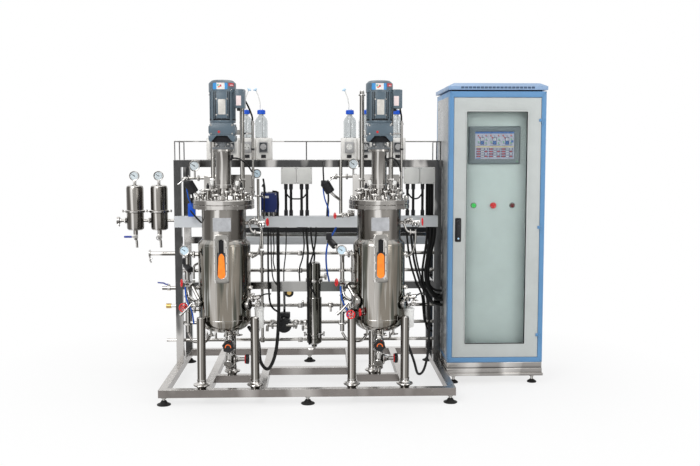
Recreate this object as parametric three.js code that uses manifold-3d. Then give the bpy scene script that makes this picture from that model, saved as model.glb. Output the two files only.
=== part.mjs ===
// Twin stirred-tank bioreactor on one skid, with its control cabinet.
// Millimetres, +Z up, +X to the operator's right, +Y away from the operator.
import * as THREE from 'three';
import { mergeVertices } from 'three/addons/utils/BufferGeometryUtils.js';
import Module from 'manifold-3d';

const wasm = await Module();
wasm.setup();

// ---------------------------------------------------------------- driving dimensions
const FIT = 0.3; // gap kept between two pieces that seat on a curved face
const RUNNING_FIT = 0.8; // radial gap round a turning shaft

const SKID_WIDTH = 1800;
const SKID_DEPTH = 1200;
const TUBE = 48; // square steel section of skid and rear frame
const SKID_CLEARANCE = 50; // floor to the underside of the skid
const DECK = SKID_CLEARANCE + TUBE; // top face of the skid
const DEPTH_BEAMS_X = [-614, -280, 283, 600];
const MIDDLE_BEAM_Y = 576;

const FOOT_INSET = 30;
const FOOT_PAD_R = 42;
const FOOT_PAD_H = 20;
const FOOT_STEM_R = 9;

const FRAME_FRONT_Y = 754; // middle plane of the rear frame's front posts
const FRAME_TOP = 1473;
const FRAME_MID_Z = 624; // middle of the frame's lower rail
const FRAME_TRAY_Z = 895; // middle of the rail that carries the cable tray
const SHELF_DEPTH = 122;
const SHELF_T = 6;

const RAIL_R = 4; // bottle guard rail
const RAIL_TOP = 1597;
const RAIL_CORNER_R = 30;

const DUCT_D = 50; // cable duct, front to back
const DUCT_HI_Z = 1025;
const DUCT_HI_H = 73;
const DUCT_HI_OVERHANG = 18;
const DUCT_LO_W = 500;
const DUCT_LO_Z = 590;
const DUCT_LO_H = 66;

const PIPE_R = 12;
const PIPE_PLANE_GAP = 10; // frame posts to the pipes clipped behind them
const PIPE_RUNS = [ // height, and how far past the frame's left side each one ends
  { z: 838, past: 185 },
  { z: 720, past: -30 },
  { z: 478, past: 75 },
  { z: 360, past: -30 },
  { z: 240, past: 75 },
];
const PIPE_FLANGE_T = 8;
const PIPE_RISERS_X = [-320, 300];

const PUMP_BANK_W = 436;
const PUMP_BANK_D = 150;
const PUMP_BANK_H = 148;
const PUMP_BANKS_X = [-463, 438];
const PUMP_HEADS = 4;
const PUMP_HEAD_W = 60;
const PUMP_HEAD_H = 75;
const PUMP_HEAD_D = 24;
const PUMP_KNOB_R = 9;
const PUMP_BANK_OVERHANG = 5; // frame's front face to the front of a bank

const BOTTLE_R = 43; // half-litre laboratory bottle with a 45 mm thread
const BOTTLE_H = 188;
const BOTTLE_GAP = 16; // between the two that stand closest
const BOTTLES_X = [-422, -317, 282, 282 + 2 * BOTTLE_R + BOTTLE_GAP, 599];
const BOTTLE_Y = 815;

const JUNCTION_W = 102;
const JUNCTION_H = 112;
const JUNCTION_D = 78;
const JUNCTION_SEAM = 3;
const JUNCTIONS_X = [-79, SKID_WIDTH / 2 - TUBE - JUNCTION_W - JUNCTION_SEAM / 2 - 0.5];

const FILTER_R = 57;
const FILTER_Z = [1002, 1308];
const FILTERS_PAST = [264, 103]; // past the frame's left side
const FILTERS_X = FILTERS_PAST.map((past) => -SKID_WIDTH / 2 - past);
const FILTER_CLAMP_Z = 1129;
const FILTER_PIPE_Z = 1067;
const FILTER_PIPE_END_X = FILTERS_X[0] - 122;
const FILTER_NECK_H = 34;
const COCK_W = 28;
const GAUGE_R = 31;
const GAUGE_D = 24;

const EXCHANGER_R = 50;
const EXCHANGER_X = 37;
const EXCHANGER_GAP = 6; // to the upper duct's face
const EXCHANGER_Z = [240, 560, 800];
const PUMP_MOTOR_R = 44;
const PUMP_MOTOR_X = -165;
const PUMP_MOTOR_Z = 375;

const VESSELS_X = { left: -509, right: 439 };
const VESSEL_Y = 165;
const BORE_R = 130; // inside of the vessel
const SHELL_R = 134;
const JACKET_R = 159;
const FLANGE_R = 185;
const FLANGE_T = 25;
const FLANGE_TOP = 1207;
const SHOULDER_Z = [967, 997];
const JACKET_BOTTOM = 510; // where the straight jacket ends and the dish begins
const DISH_DEPTH = 86;
const DISH_FLAT_R = 40;
const FLOOR_T = 16; // outer dish to the inner one

const LEG_R = 26;
const LEG_TOP = 538;
const LEG_FRONT_Y = -135; // the front pair stands on the front rail
const LEG_REAR_Y = 216; // the third on its own cross beam
const LEG_SPOTS = {
  left: [[-131, LEG_FRONT_Y], [191, LEG_FRONT_Y], [20, LEG_REAR_Y]],
  right: [[-172, LEG_FRONT_Y], [150, LEG_FRONT_Y], [-24, LEG_REAR_Y]],
};
const LEG_GUSSET_T = 14;
const LEG_WELD = 8; // gusset let into the jacket
const LEG_DISC_R = 51;
const LEG_DISC_Z = 128;

const SIGHT_W = 88;
const SIGHT_Z = [746, 1034];
const SIGHT_T = 12;
const SIGHT_PAD_PROUD = 9; // welded pad in front of the jacket
const SLOT_W = 29;
const SLOT_Z = [766, 999];
const SIGHT_CHAMFER = 14;
const PANE_T = 6;

const LID_T = 30;
const LID_GROOVE = 3;
const LID_SEAT_R = 150;
const HUB_R = 66;
const HUB_H = 25;
const SEAL_R = 38;
const SEAL_H = 44;
const LID_TOP = FLANGE_TOP + LID_T;
const HUB_TOP = LID_TOP + HUB_H;
const SEAL_TOP = HUB_TOP + SEAL_H;
const MAST_R = 15;
const MAST_X = 93;
const MAST_Y = FLANGE_R + 85; // behind the lid, carried on a bracket
const MAST_TOP = LID_TOP + 678;
const MAST_TIE_Z = LID_TOP + 413;
const BRACKET_HALF_W = 152;
const BRACKET_T = 8;
const BRACKET_TOP = LID_TOP + 145;
const BRACKET_FOOT = { width: 150, from: FLANGE_R - 65 };
const CONDUIT_R = 8.5;
const CONDUIT_TOP = LID_TOP + 485;

const COLUMN_R = 46;
const COLUMN_BORE = 36;
const COLUMN_RING_R = 50;
const COLUMN_RING_H = 22;
const COLUMN_TOP = SEAL_TOP + 235;
const COLUMN_SOCKET = 4; // seal housing let into the column's foot
const ADAPTER_R = 66;
const ADAPTER_T = 13;
const GEAR_NECK_R = 48;
const GEAR_NECK_H = 33;
const GEAR_W = 158;
const GEAR_D = 150;
const GEAR_H = 113;
const GEAR_CHAMFER = 22;
const GEAR_FOOT_H = 34;

const MOTOR_BASE_T = 22;
const MOTOR_R = 72;
const MOTOR_FIN_R = 78;
const MOTOR_FINS = 16;
const MOTOR_BODY_H = 168;
const COWL_R = 82;
const COWL_H = 64;
const COWL_CHAMFER = 14;
const TERMINAL = { reach: 136, depth: 92, below: 103, height: 114 };

const SHAFT_R = 10;
const SHAFT_Z = [JACKET_BOTTOM + 10, COLUMN_TOP - 5];
const IMPELLERS_Z = [610, 800];
const IMPELLER_R = 58;
const IMPELLER_DISC_R = 44;
const BLADES = 6;

const OUTLETS_X = { left: 26, right: 0 }; // outlet from the vessel's axis
const OUTLET_FLANGE_R = 34;
const OUTLET_R = 22;
const KNOB_R = 38;
const KNOB_T = 44;
const KNOB_LOBES = 6;
const KNOB_Z = 345;
const KNOB_REACH = 66;
const DRAIN_BODY_R = 27;
const DRAIN_Z = [165, 300];
const DRAIN_KNOB_Z = 248;
const DRAIN_KNOB_R = 34;
const DRAIN_KNOB_T = 28;
const DRAIN_KNOB_REACH = 92;

const HEADER_X = -JACKET_R - 67; // pipe at the side of each vessel
const HEADER_R = 13;
const HEADER_TAP_R = 11;
const HEADER_GAUGE = { reach: 60, left: 6, above: 2 };
const HEADER_Z = [420, 930];
const HEADER_TAPS_Z = [560, 900];
const WHEEL_R = 28;
const WHEEL_T = 12;
const WHEELS = { // from the vessel's axis; reach is how far the stem comes forward
  left: { x: -JACKET_R - 85, z: JACKET_BOTTOM + 75, reach: 72 },
  right: { x: -JACKET_R - 21, z: LEG_TOP + 16, reach: -LEG_FRONT_Y + 35 },
};

const CABINET = { y: 461, w: 628, d: 600, bottom: 148, top: 1914, wall: 12 };
const CABINET_TOE = 57; // floor to the underside of the plinth
const PLINTH_LIP = 8; // the lip stands against the skid's side
const PLINTH_LIP_H = 43;
const CABINET_LEFT = SKID_WIDTH / 2 + PLINTH_LIP;
const CABINET_MIDDLE = CABINET_LEFT + CABINET.w / 2;
const DOOR = {
  left: CABINET_LEFT + 32,
  right: CABINET_LEFT + CABINET.w - 32,
  bottom: CABINET.bottom + 34,
  top: CABINET.top - 40,
  t: 24,
  gap: 3,
  setBack: -6,
};
const DOOR_STOP = 14; // frame behind the door leaf
const WINDOW = {
  left: DOOR.left + 87,
  right: DOOR.right - 77,
  bottom: DOOR.bottom + 89,
  top: DOOR.top - 90,
  rebate: 6,
  t: 5,
};
const HINGE_R = 6;
const HINGE_OFFSET = 8;
const HINGE_PROUD = 5; // pivot in front of the door's face
const HINGES_Z = [DOOR.bottom + 138, (DOOR.bottom + DOOR.top) / 2, DOOR.top - 154];
const HINGE_H = 40;
const PANEL_SETBACK = 69;
const PANEL_T = 6;
const SCREEN_HOUSING = { x: CABINET_MIDDLE - 14, z: CABINET.top - 345, w: 336, h: 246, t: 14 };
const CONTROLS_Z = 1177;
const ESTOP = { x: CABINET_MIDDLE - 11, r: 20, stem: 11, head: 14, travel: 5, collar: 6, fit: 0.7, tail: 10 };
const HANDLE = { x: DOOR.left + 32, pivot: 1072, w: 26, length: 142, t: 13, plate: 4 };
const ROOF_H = 46;
const ROOF_NECK = 9;
const ROOF_NECK_INSET = 22;
const ROOF_OVERHANG = 9;
const ROOF_SLOPE_IN = 44;
const HOSE_GLAND = { z: 540, r: 26, l: 8 };

const HOSE_R = 17;
const MOTOR_CABLE_R = 4.5;
const LARGE = 24; // sides of the vessels and their lids
const ROUND = 16; // sides of a round piece
const POLE = 12; // sides of legs, masts and the shaft
const SLIM = 8; // sides of a slim rod

// ---------------------------------------------------------------- solids
function triangles(index, positions) {
  const kept = [];
  let volume = 0;
  const corner = (i) => new THREE.Vector3().fromArray(positions, i * 3);
  for (let i = 0; i < index.length; i += 3) {
    const [a, b, c] = index.slice(i, i + 3);
    if (a === b || b === c || c === a) continue;
    kept.push(a, b, c);
    volume += corner(a).dot(corner(b).cross(corner(c)));
  }
  if (volume < 0) kept.reverse();
  return new Uint32Array(kept);
}

function toSolid(shape) {
  if (!shape.isBufferGeometry) return shape;
  const bare = new THREE.BufferGeometry().setAttribute('position', shape.getAttribute('position'));
  if (shape.index) bare.setIndex(shape.index);
  const welded = mergeVertices(bare, 1e-3);
  const vertProperties = welded.attributes.position.array;
  const triVerts = triangles(Array.from(welded.index.array), vertProperties);
  return new wasm.Manifold(new wasm.Mesh({ numProp: 3, vertProperties, triVerts }));
}

function toGeometry(solid) {
  const { vertProperties, triVerts } = solid.getMesh();
  const geometry = new THREE.BufferGeometry();
  geometry.setAttribute('position', new THREE.BufferAttribute(vertProperties, 3));
  geometry.setIndex(new THREE.BufferAttribute(triVerts, 1));
  geometry.computeVertexNormals();
  return geometry;
}

const join = (...shapes) => shapes.map(toSolid).reduce((whole, next) => whole.add(next));
const cut = (body, ...tools) => tools.map(toSolid).reduce((left, tool) => left.subtract(tool), toSolid(body));

// A box given by its limits on each axis.
function block([x0, x1], [y0, y1], [z0, z1]) {
  const geometry = new THREE.BoxGeometry(x1 - x0, y1 - y0, z1 - z0);
  return geometry.translate((x0 + x1) / 2, (y0 + y1) / 2, (z0 + z1) / 2);
}

const around = (middle, size) => [middle - size / 2, middle + size / 2];

// Round bars along each axis: the two fixed coordinates, then where it starts and ends.
function barZ(r, x, y, [z0, z1], sides = ROUND) {
  const bar = new THREE.CylinderGeometry(r, r, z1 - z0, sides).rotateX(Math.PI / 2);
  return bar.translate(x, y, (z0 + z1) / 2);
}

function barY(r, x, z, [y0, y1], sides = ROUND) {
  return new THREE.CylinderGeometry(r, r, y1 - y0, sides).translate(x, (y0 + y1) / 2, z);
}

function barX(r, y, z, [x0, x1], sides = ROUND) {
  const bar = new THREE.CylinderGeometry(r, r, x1 - x0, sides).rotateZ(Math.PI / 2);
  return bar.translate((x0 + x1) / 2, y, z);
}

// A turned piece about Z: its profile is [radius, height] pairs that end on the axis or close.
function turned(profile, sides = ROUND) {
  const points = profile.map(([r, z]) => new THREE.Vector2(r, z));
  return new THREE.LatheGeometry(points, sides).rotateX(Math.PI / 2);
}

// A flat outline drawn in X and Z, given its thickness along Y from y0 to y1.
function plateY(outline, [y0, y1]) {
  const shape = new THREE.Shape(outline.map(([x, z]) => new THREE.Vector2(x, z)));
  const plate = new THREE.ExtrudeGeometry(shape, { depth: y1 - y0, bevelEnabled: false });
  return plate.rotateX(Math.PI / 2).translate(0, y1, 0);
}

// A round cord that follows the given points.
function cord(points, r, steps) {
  const path = new THREE.CatmullRomCurve3(points.map((p) => new THREE.Vector3(...p)));
  const section = new THREE.Shape().absarc(0, 0, r, 0, Math.PI * 2);
  const options = { steps, extrudePath: path, curveSegments: 4, bevelEnabled: false };
  return new THREE.ExtrudeGeometry(section, options);
}

const arc = (count, place) => Array.from({ length: count + 1 }, (_, i) => place((Math.PI / 2) * (i / count)));

function piece(name, shape, material) {
  const mesh = new THREE.Mesh(toGeometry(toSolid(shape)), material.clone());
  mesh.name = name;
  return mesh;
}

// ---------------------------------------------------------------- materials
function finish(color, roughness, metalness) {
  return new THREE.MeshStandardMaterial({ color, roughness, metalness });
}

const STEEL = finish(0xb5ada5, 0.25, 1);
const BRUSHED = finish(0x9a938c, 0.4, 1);
const MOTOR_PAINT = finish(0x5f6e78, 0.5, 0);
const RUBBER = finish(0x151515, 0.7, 0);
const DUCT_GREY = finish(0xd3d6d9, 0.5, 0);
const BOX_GREY = finish(0xd9dad4, 0.5, 0);
const BLACK_PLASTIC = finish(0x1a1a1c, 0.45, 0);
const RED_PLASTIC = finish(0xd8232a, 0.4, 0);
const BLUE_PLASTIC = finish(0x1b3fa8, 0.4, 0);
const CABINET_BLUE = finish(0x6ea0d2, 0.45, 0);
const CABINET_WHITE = finish(0xc8cdc8, 0.45, 0);
const GLASS = finish(0xc4d6d0, 0.05, 0);
const BOTTLE_GLASS = finish(0xd6e4ea, 0.08, 0);
const PANEL_PAINT = finish(0xbfc6c0, 0.5, 0);

// ---------------------------------------------------------------- skid and rear frame
const HALF_W = SKID_WIDTH / 2;
const POST_X = HALF_W - TUBE / 2;
const FRAME_BACK_Y = SKID_DEPTH - TUBE / 2;

function skidFrame() {
  const z = [SKID_CLEARANCE, DECK];
  const across = (y, x = [-HALF_W, HALF_W]) => block(x, around(y, TUBE), z);
  const lengthways = (x) => block(around(x, TUBE), [0, SKID_DEPTH], z);
  const [farLeft, left, right, farRight] = DEPTH_BEAMS_X;
  const rearLegY = VESSEL_Y + LEG_REAR_Y;
  return join(
    across(TUBE / 2),
    across(FRAME_BACK_Y),
    lengthways(-POST_X),
    lengthways(POST_X),
    ...DEPTH_BEAMS_X.map(lengthways),
    across(MIDDLE_BEAM_Y, [left, right]),
    across(rearLegY, [farLeft, left]),
    across(rearLegY, [right, farRight]),
  );
}

function skidFoot() {
  const crown = FOOT_PAD_R * 0.45;
  const pad = turned([
    [0, 0],
    [FOOT_PAD_R, 0],
    [FOOT_PAD_R, FOOT_PAD_H * 0.35],
    [crown, FOOT_PAD_H],
    [0, FOOT_PAD_H],
  ], POLE);
  return join(pad, barZ(FOOT_STEM_R, 0, 0, [FOOT_PAD_H - 2, SKID_CLEARANCE], SLIM));
}

function rearFrame() {
  const level = (z) => [z - TUBE / 2, z + TUBE / 2];
  const top = level(FRAME_TOP - TUBE / 2);
  const across = (y, z) => block([-HALF_W, HALF_W], around(y, TUBE), z);
  const side = (x, z) => block(around(x, TUBE), [FRAME_FRONT_Y, FRAME_BACK_Y], z);
  const post = (x, y) => block(around(x, TUBE), around(y, TUBE), [DECK + FIT, FRAME_TOP]);
  const members = [];
  for (const x of [-POST_X, POST_X]) {
    members.push(post(x, FRAME_FRONT_Y), post(x, FRAME_BACK_Y));
    members.push(side(x, top), side(x, level(FRAME_MID_Z)));
  }
  const shelfY = [FRAME_FRONT_Y, FRAME_FRONT_Y + TUBE / 2 + SHELF_DEPTH];
  const shelf = block([-POST_X, POST_X], shelfY, [FRAME_TOP - SHELF_T, FRAME_TOP]);
  return join(
    ...members,
    across(FRAME_FRONT_Y, top),
    across(FRAME_BACK_Y, top),
    across(FRAME_FRONT_Y, level(FRAME_MID_Z)),
    across(FRAME_BACK_Y, level(FRAME_TRAY_Z)),
    shelf,
    guardRail(),
  );
}

// The wire rail stands on the top tubes and stops short of the pump banks.
function guardRail() {
  const [bankLeft, bankRight] = PUMP_BANKS_X.map((x) => around(x, PUMP_BANK_W));
  const y = FRAME_FRONT_Y;
  const endX = POST_X + TUBE / 2 - RAIL_R - 2;
  const cornerX = POST_X - RAIL_CORNER_R;
  const upright = (x, at = y) => barZ(RAIL_R, x, at, [FRAME_TOP - 1, RAIL_TOP], SLIM);
  const rail = (x) => barX(RAIL_R, y, RAIL_TOP, x, SLIM);
  const sideRail = (x) => barY(RAIL_R, x, RAIL_TOP, [y, FRAME_BACK_Y], SLIM);
  const middle = (y + FRAME_BACK_Y) / 2;
  return join(
    rail([-endX, bankLeft[0] - FIT]),
    rail([bankLeft[1] + FIT, bankRight[0] - FIT]),
    rail([bankRight[1] + FIT, cornerX]),
    rail([cornerX - 1, endX]),
    upright(-endX),
    upright((bankLeft[1] + bankRight[0]) / 2),
    upright(endX),
    ...[-endX, endX].flatMap((x) => [sideRail(x), upright(x, middle), upright(x, FRAME_BACK_Y)]),
  );
}

const FRAME_FACE_Y = FRAME_FRONT_Y - TUBE / 2;
const DUCT_MIDDLE_Y = FRAME_FACE_Y - DUCT_D / 2;

function upperDuct() {
  const reach = HALF_W - TUBE + DUCT_HI_OVERHANG;
  const z = [DUCT_HI_Z, DUCT_HI_Z + DUCT_HI_H];
  return block([-reach - TUBE / 2, reach], [FRAME_FACE_Y - DUCT_D, FRAME_FACE_Y], z);
}

function lowerDuct() {
  const z = [DUCT_LO_Z, DUCT_LO_Z + DUCT_LO_H];
  return block(around(0, DUCT_LO_W), [FRAME_FACE_Y - DUCT_D, FRAME_FACE_Y], z);
}

// Service pipes run behind the front posts on short stand-offs.
function pipeRack() {
  const postBack = FRAME_FRONT_Y + TUBE / 2;
  const y = postBack + PIPE_PLANE_GAP + PIPE_R;
  const right = POST_X + TUBE / 2;
  const runs = PIPE_RUNS.map(({ z, past }) => barX(PIPE_R, y, z, [-HALF_W - past, right], SLIM));
  const heights = PIPE_RUNS.map(({ z }) => z);
  const span = [Math.min(...heights), Math.max(...heights)];
  const risers = PIPE_RISERS_X.map((x) => barZ(PIPE_R, x, y, span, SLIM));
  const standOffs = heights.flatMap((z) =>
    [-POST_X, POST_X].map((x) => block(around(x, TUBE / 2), [postBack, y], around(z, PIPE_R))),
  );
  const flanges = PIPE_RUNS.filter(({ past }) => past > 0).map(({ z, past }) =>
    barX(PIPE_R * 2, y, z, [-HALF_W - past - PIPE_FLANGE_T, -HALF_W - past], ROUND),
  );
  return join(...runs, ...risers, ...standOffs, ...flanges);
}

// ---------------------------------------------------------------- on the rear frame
function pumpBank() {
  const front = FRAME_FACE_Y + PUMP_BANK_OVERHANG;
  const z = [FRAME_TOP, FRAME_TOP + PUMP_BANK_H];
  const body = block(around(0, PUMP_BANK_W), [front, front + PUMP_BANK_D], z);
  const pitch = PUMP_BANK_W / PUMP_HEADS;
  const headZ = around(z[0] + PUMP_BANK_H * 0.57, PUMP_HEAD_H);
  const details = [];
  for (let i = 0; i < PUMP_HEADS; i += 1) {
    const x = (i - (PUMP_HEADS - 1) / 2) * pitch;
    details.push(block(around(x, PUMP_HEAD_W), [front - PUMP_HEAD_D, front + 1], headZ));
    details.push(barY(PUMP_KNOB_R, x, z[0] + PUMP_KNOB_R * 2.6, [front - PUMP_KNOB_R, front + 1], SLIM));
  }
  return join(body, ...details);
}

function bottle() {
  const neck = BOTTLE_R * 0.38;
  const cap = BOTTLE_R * 0.63;
  const shoulder = BOTTLE_H * 0.62;
  const neckBase = BOTTLE_H * 0.78;
  return turned([
    [0, 0],
    [BOTTLE_R, 0],
    [BOTTLE_R, shoulder],
    [BOTTLE_R * 0.85, shoulder + BOTTLE_R * 0.35],
    [neck, neckBase],
    [neck, BOTTLE_H * 0.85],
    [cap, BOTTLE_H * 0.85],
    [cap, BOTTLE_H],
    [0, BOTTLE_H],
  ]);
}

// Two terminal boxes side by side, hung under the top tube.
function junctionBoxes() {
  const top = FRAME_TOP - TUBE;
  const y = [FRAME_FACE_Y + TUBE - JUNCTION_D, FRAME_FACE_Y + TUBE];
  const z = [top - JUNCTION_H, top];
  const pair = block(around(0, JUNCTION_W * 2 + JUNCTION_SEAM), y, z);
  const seam = block(around(0, JUNCTION_SEAM), [y[0] - 1, y[0] + JUNCTION_D / 2], [z[0] - 1, top - 8]);
  return cut(pair, seam);
}

// Steam and air filter housing with its gauge, clamp, drain and its share of the pipe.
function filterHousing(pipe, x) {
  const [bottom, top] = FILTER_Z;
  const y = FRAME_FRONT_Y;
  const round = FILTER_R * 0.35;
  const profile = [
    [0, bottom - 30],
    [14, bottom - 30],
    [14, bottom],
    [FILTER_R - round, bottom],
    [FILTER_R, bottom + round],
    [FILTER_R, FILTER_CLAMP_Z - 9],
    [FILTER_R + 9, FILTER_CLAMP_Z - 6],
    [FILTER_R + 9, FILTER_CLAMP_Z + 6],
    [FILTER_R, FILTER_CLAMP_Z + 9],
    ...arc(3, (a) => [FILTER_R - round + Math.cos(a) * round, top - round + Math.sin(a) * round]),
    [9, top],
    [9, top + FILTER_NECK_H],
    [0, top + FILTER_NECK_H],
  ];
  const gauge = barY(GAUGE_R, x, top + FILTER_NECK_H + GAUGE_R - 6, around(y, GAUGE_D));
  const drain = join(
    block(around(x, COCK_W), around(y, COCK_W), [bottom - 30 - COCK_W, bottom - 28]),
    barZ(8, x, y, [bottom - 118, bottom - 50], SLIM),
  );
  const [from, to] = pipe;
  const line = barX(10, y, FILTER_PIPE_Z, [from, to], SLIM);
  return join(turned(profile).translate(x, y, 0), gauge, drain, line);
}

function outerFilter([outer, inner]) {
  const joint = (outer + inner) / 2;
  const clamp = barX(24, FRAME_FRONT_Y, FILTER_PIPE_Z, [FILTER_PIPE_END_X, FILTER_PIPE_END_X + 30]);
  return join(filterHousing([FILTER_PIPE_END_X, joint], outer), clamp);
}

function innerFilter([outer, inner]) {
  return filterHousing([(outer + inner) / 2, -HALF_W], inner);
}

// Quarter-turn lever in front of the outer filter's drain cock; closed it points left.
function drainLever() {
  const z = FILTER_Z[0] - 43;
  const front = FRAME_FRONT_Y - COCK_W / 2 - FIT;
  const hub = barY(8, 0, 0, [front - 12, front], SLIM);
  const arm = block([-74, 0], [front - 10, front - 4], [-7, 7]);
  return join(hub, arm).translate(FILTERS_X[0], 0, z);
}

function heatExchanger() {
  const [bottom, step, top] = EXCHANGER_Z;
  const ductFace = FRAME_FACE_Y - DUCT_D;
  const y = ductFace - EXCHANGER_R - EXCHANGER_GAP;
  const upper = EXCHANGER_R - 7;
  const body = turned([
    [0, bottom - 14],
    [18, bottom - 14],
    [18, bottom],
    [EXCHANGER_R, bottom + 18],
    [EXCHANGER_R, bottom + 60],
    [EXCHANGER_R + 8, bottom + 64],
    [EXCHANGER_R + 8, bottom + 76],
    [EXCHANGER_R, bottom + 80],
    [EXCHANGER_R, step],
    [upper, step + 8],
    [upper, top - 14],
    [upper * 0.6, top],
    [0, top],
  ]);
  const ductZ = DUCT_LO_Z + DUCT_LO_H / 2;
  const bracket = block(around(0, 60), [0, EXCHANGER_R + 6], around(ductZ, 30));
  return join(body, bracket).translate(EXCHANGER_X, y, 0);
}

// The pump hangs from the lower duct on a flat hanger.
function circulationPump() {
  const y = DUCT_MIDDLE_Y;
  const motor = barY(PUMP_MOTOR_R, PUMP_MOTOR_X, PUMP_MOTOR_Z, [y - 90, y + 20]);
  const head = barY(PUMP_MOTOR_R + 8, PUMP_MOTOR_X, PUMP_MOTOR_Z, [y - 112, y - 89]);
  const port = barX(12, y - 100, PUMP_MOTOR_Z, [PUMP_MOTOR_X, PUMP_MOTOR_X + 90], SLIM);
  const hangerZ = [PUMP_MOTOR_Z, DUCT_LO_Z];
  const hanger = block(around(PUMP_MOTOR_X, 40), around(y, 8), hangerZ);
  return join(motor, head, port, hanger);
}

// ---------------------------------------------------------------- one vessel and its drive
// Everything here is drawn about the vessel's own axis, with the floor at zero.
function dish(r, top, depth, flat) {
  return arc(4, (a) => [flat + Math.sin(a) * (r - flat), top - Math.cos(a) * depth]);
}

function vesselShell() {
  const [jacketTop, shoulderTop] = SHOULDER_Z;
  const outer = dish(JACKET_R, JACKET_BOTTOM, DISH_DEPTH, DISH_FLAT_R);
  const floorDepth = DISH_DEPTH - FLOOR_T;
  const inner = dish(BORE_R, JACKET_BOTTOM, floorDepth, 0).reverse();
  const profile = [
    [0, JACKET_BOTTOM - DISH_DEPTH],
    ...outer,
    [JACKET_R, jacketTop],
    [JACKET_R - 7, jacketTop + 14],
    [SHELL_R, shoulderTop],
    [SHELL_R, FLANGE_TOP - FLANGE_T],
    [FLANGE_R, FLANGE_TOP - FLANGE_T],
    [FLANGE_R, FLANGE_TOP],
    [BORE_R, FLANGE_TOP],
    ...inner,
  ];
  return turned(profile, LARGE);
}

function leg([x, y]) {
  const stand = turned([
    [0, DECK],
    [LEG_R, DECK],
    [LEG_DISC_R, LEG_DISC_Z - 6],
    [LEG_DISC_R, LEG_DISC_Z],
    [LEG_R, LEG_DISC_Z + 12],
    [LEG_R, LEG_TOP - 8],
    [LEG_R - 8, LEG_TOP],
    [0, LEG_TOP],
  ], POLE);
  const reach = Math.hypot(x, y);
  const gusset = block([JACKET_R - LEG_WELD, reach], around(0, LEG_GUSSET_T), [JACKET_BOTTOM, LEG_TOP - 10]);
  return join(stand.translate(x, y, 0), gusset.rotateZ(Math.atan2(y, x)));
}

function vessel(side) {
  const padFront = -JACKET_R - SIGHT_PAD_PROUD;
  const pad = block(around(0, SIGHT_W), [padFront, -BORE_R + 6], SIGHT_Z);
  const slot = block(around(0, SLOT_W), [padFront - 1, -BORE_R + 30], SLOT_Z);
  const bore = turned([
    [0, JACKET_BOTTOM + 5],
    [BORE_R, JACKET_BOTTOM + 5],
    [BORE_R, FLANGE_TOP - 5],
    [0, FLANGE_TOP - 5],
  ], LARGE);
  const body = cut(join(vesselShell(), cut(pad, bore)), slot);
  return join(body, ...LEG_SPOTS[side].map(leg));
}

function sightFrame() {
  const back = -JACKET_R - SIGHT_PAD_PROUD;
  const [z0, z1] = SIGHT_Z;
  const half = SIGHT_W / 2;
  const c = SIGHT_CHAMFER;
  const outline = [
    [-half + c, z0], [half - c, z0], [half, z0 + c], [half, z1 - c],
    [half - c, z1], [-half + c, z1], [-half, z1 - c], [-half, z0 + c],
  ];
  const plate = plateY(outline, [back - SIGHT_T, back]);
  const recess = block(around(0, SLOT_W), [back - SIGHT_T - 1, back - PANE_T], SLOT_Z);
  return cut(plate, recess);
}

const CONDUIT_X = BRACKET_HALF_W + CONDUIT_R - 1;
const CONDUIT_Y = MAST_Y - BRACKET_T / 2;

function lid() {
  const top = LID_TOP;
  const profile = [
    [SHAFT_R + RUNNING_FIT, FLANGE_TOP],
    [LID_SEAT_R, FLANGE_TOP],
    [LID_SEAT_R, FLANGE_TOP + LID_GROOVE],
    [FLANGE_R, FLANGE_TOP + LID_GROOVE],
    [FLANGE_R, top],
    [HUB_R + 20, top],
    [HUB_R, HUB_TOP],
    [SEAL_R, HUB_TOP],
    [SEAL_R, SEAL_TOP],
    [SHAFT_R + RUNNING_FIT, SEAL_TOP],
    [SHAFT_R + RUNNING_FIT, FLANGE_TOP],
  ];
  return join(turned(profile, LARGE), mastBracket());
}

// Two masts and the cable conduit on a bracket that reaches back over the lid's edge.
function mastBracket() {
  const top = LID_TOP;
  const face = MAST_Y - BRACKET_T / 2;
  const back = block(around(0, 2 * BRACKET_HALF_W), around(MAST_Y, BRACKET_T), [top, BRACKET_TOP]);
  const foot = block(around(0, BRACKET_FOOT.width), [BRACKET_FOOT.from, face + 1], [top - 1, top + BRACKET_T]);
  const mast = (x) => barZ(MAST_R, x, MAST_Y, [BRACKET_TOP - 20, MAST_TOP], POLE);
  const tie = block([-MAST_X, MAST_X], around(MAST_Y, 10), around(MAST_TIE_Z, 30));
  const conduit = barZ(CONDUIT_R, CONDUIT_X, CONDUIT_Y, [top, CONDUIT_TOP], SLIM);
  return join(back, foot, mast(-MAST_X), mast(MAST_X), tie, conduit);
}

function driveColumn() {
  const ringTop = SEAL_TOP + COLUMN_RING_H;
  return turned([
    [COLUMN_BORE, SEAL_TOP + COLUMN_SOCKET],
    [SEAL_R - 8, SEAL_TOP + COLUMN_SOCKET],
    [SEAL_R - 8, SEAL_TOP],
    [COLUMN_RING_R, SEAL_TOP],
    [COLUMN_RING_R, ringTop],
    [COLUMN_R, ringTop],
    [COLUMN_R, COLUMN_TOP - ADAPTER_T],
    [ADAPTER_R, COLUMN_TOP - ADAPTER_T],
    [ADAPTER_R, COLUMN_TOP],
    [COLUMN_BORE, COLUMN_TOP],
    [COLUMN_BORE, SEAL_TOP + COLUMN_SOCKET],
  ]);
}

const GEAR_BOTTOM = COLUMN_TOP + ADAPTER_T + GEAR_NECK_H;
const GEAR_TOP = GEAR_BOTTOM + GEAR_H;

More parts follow.
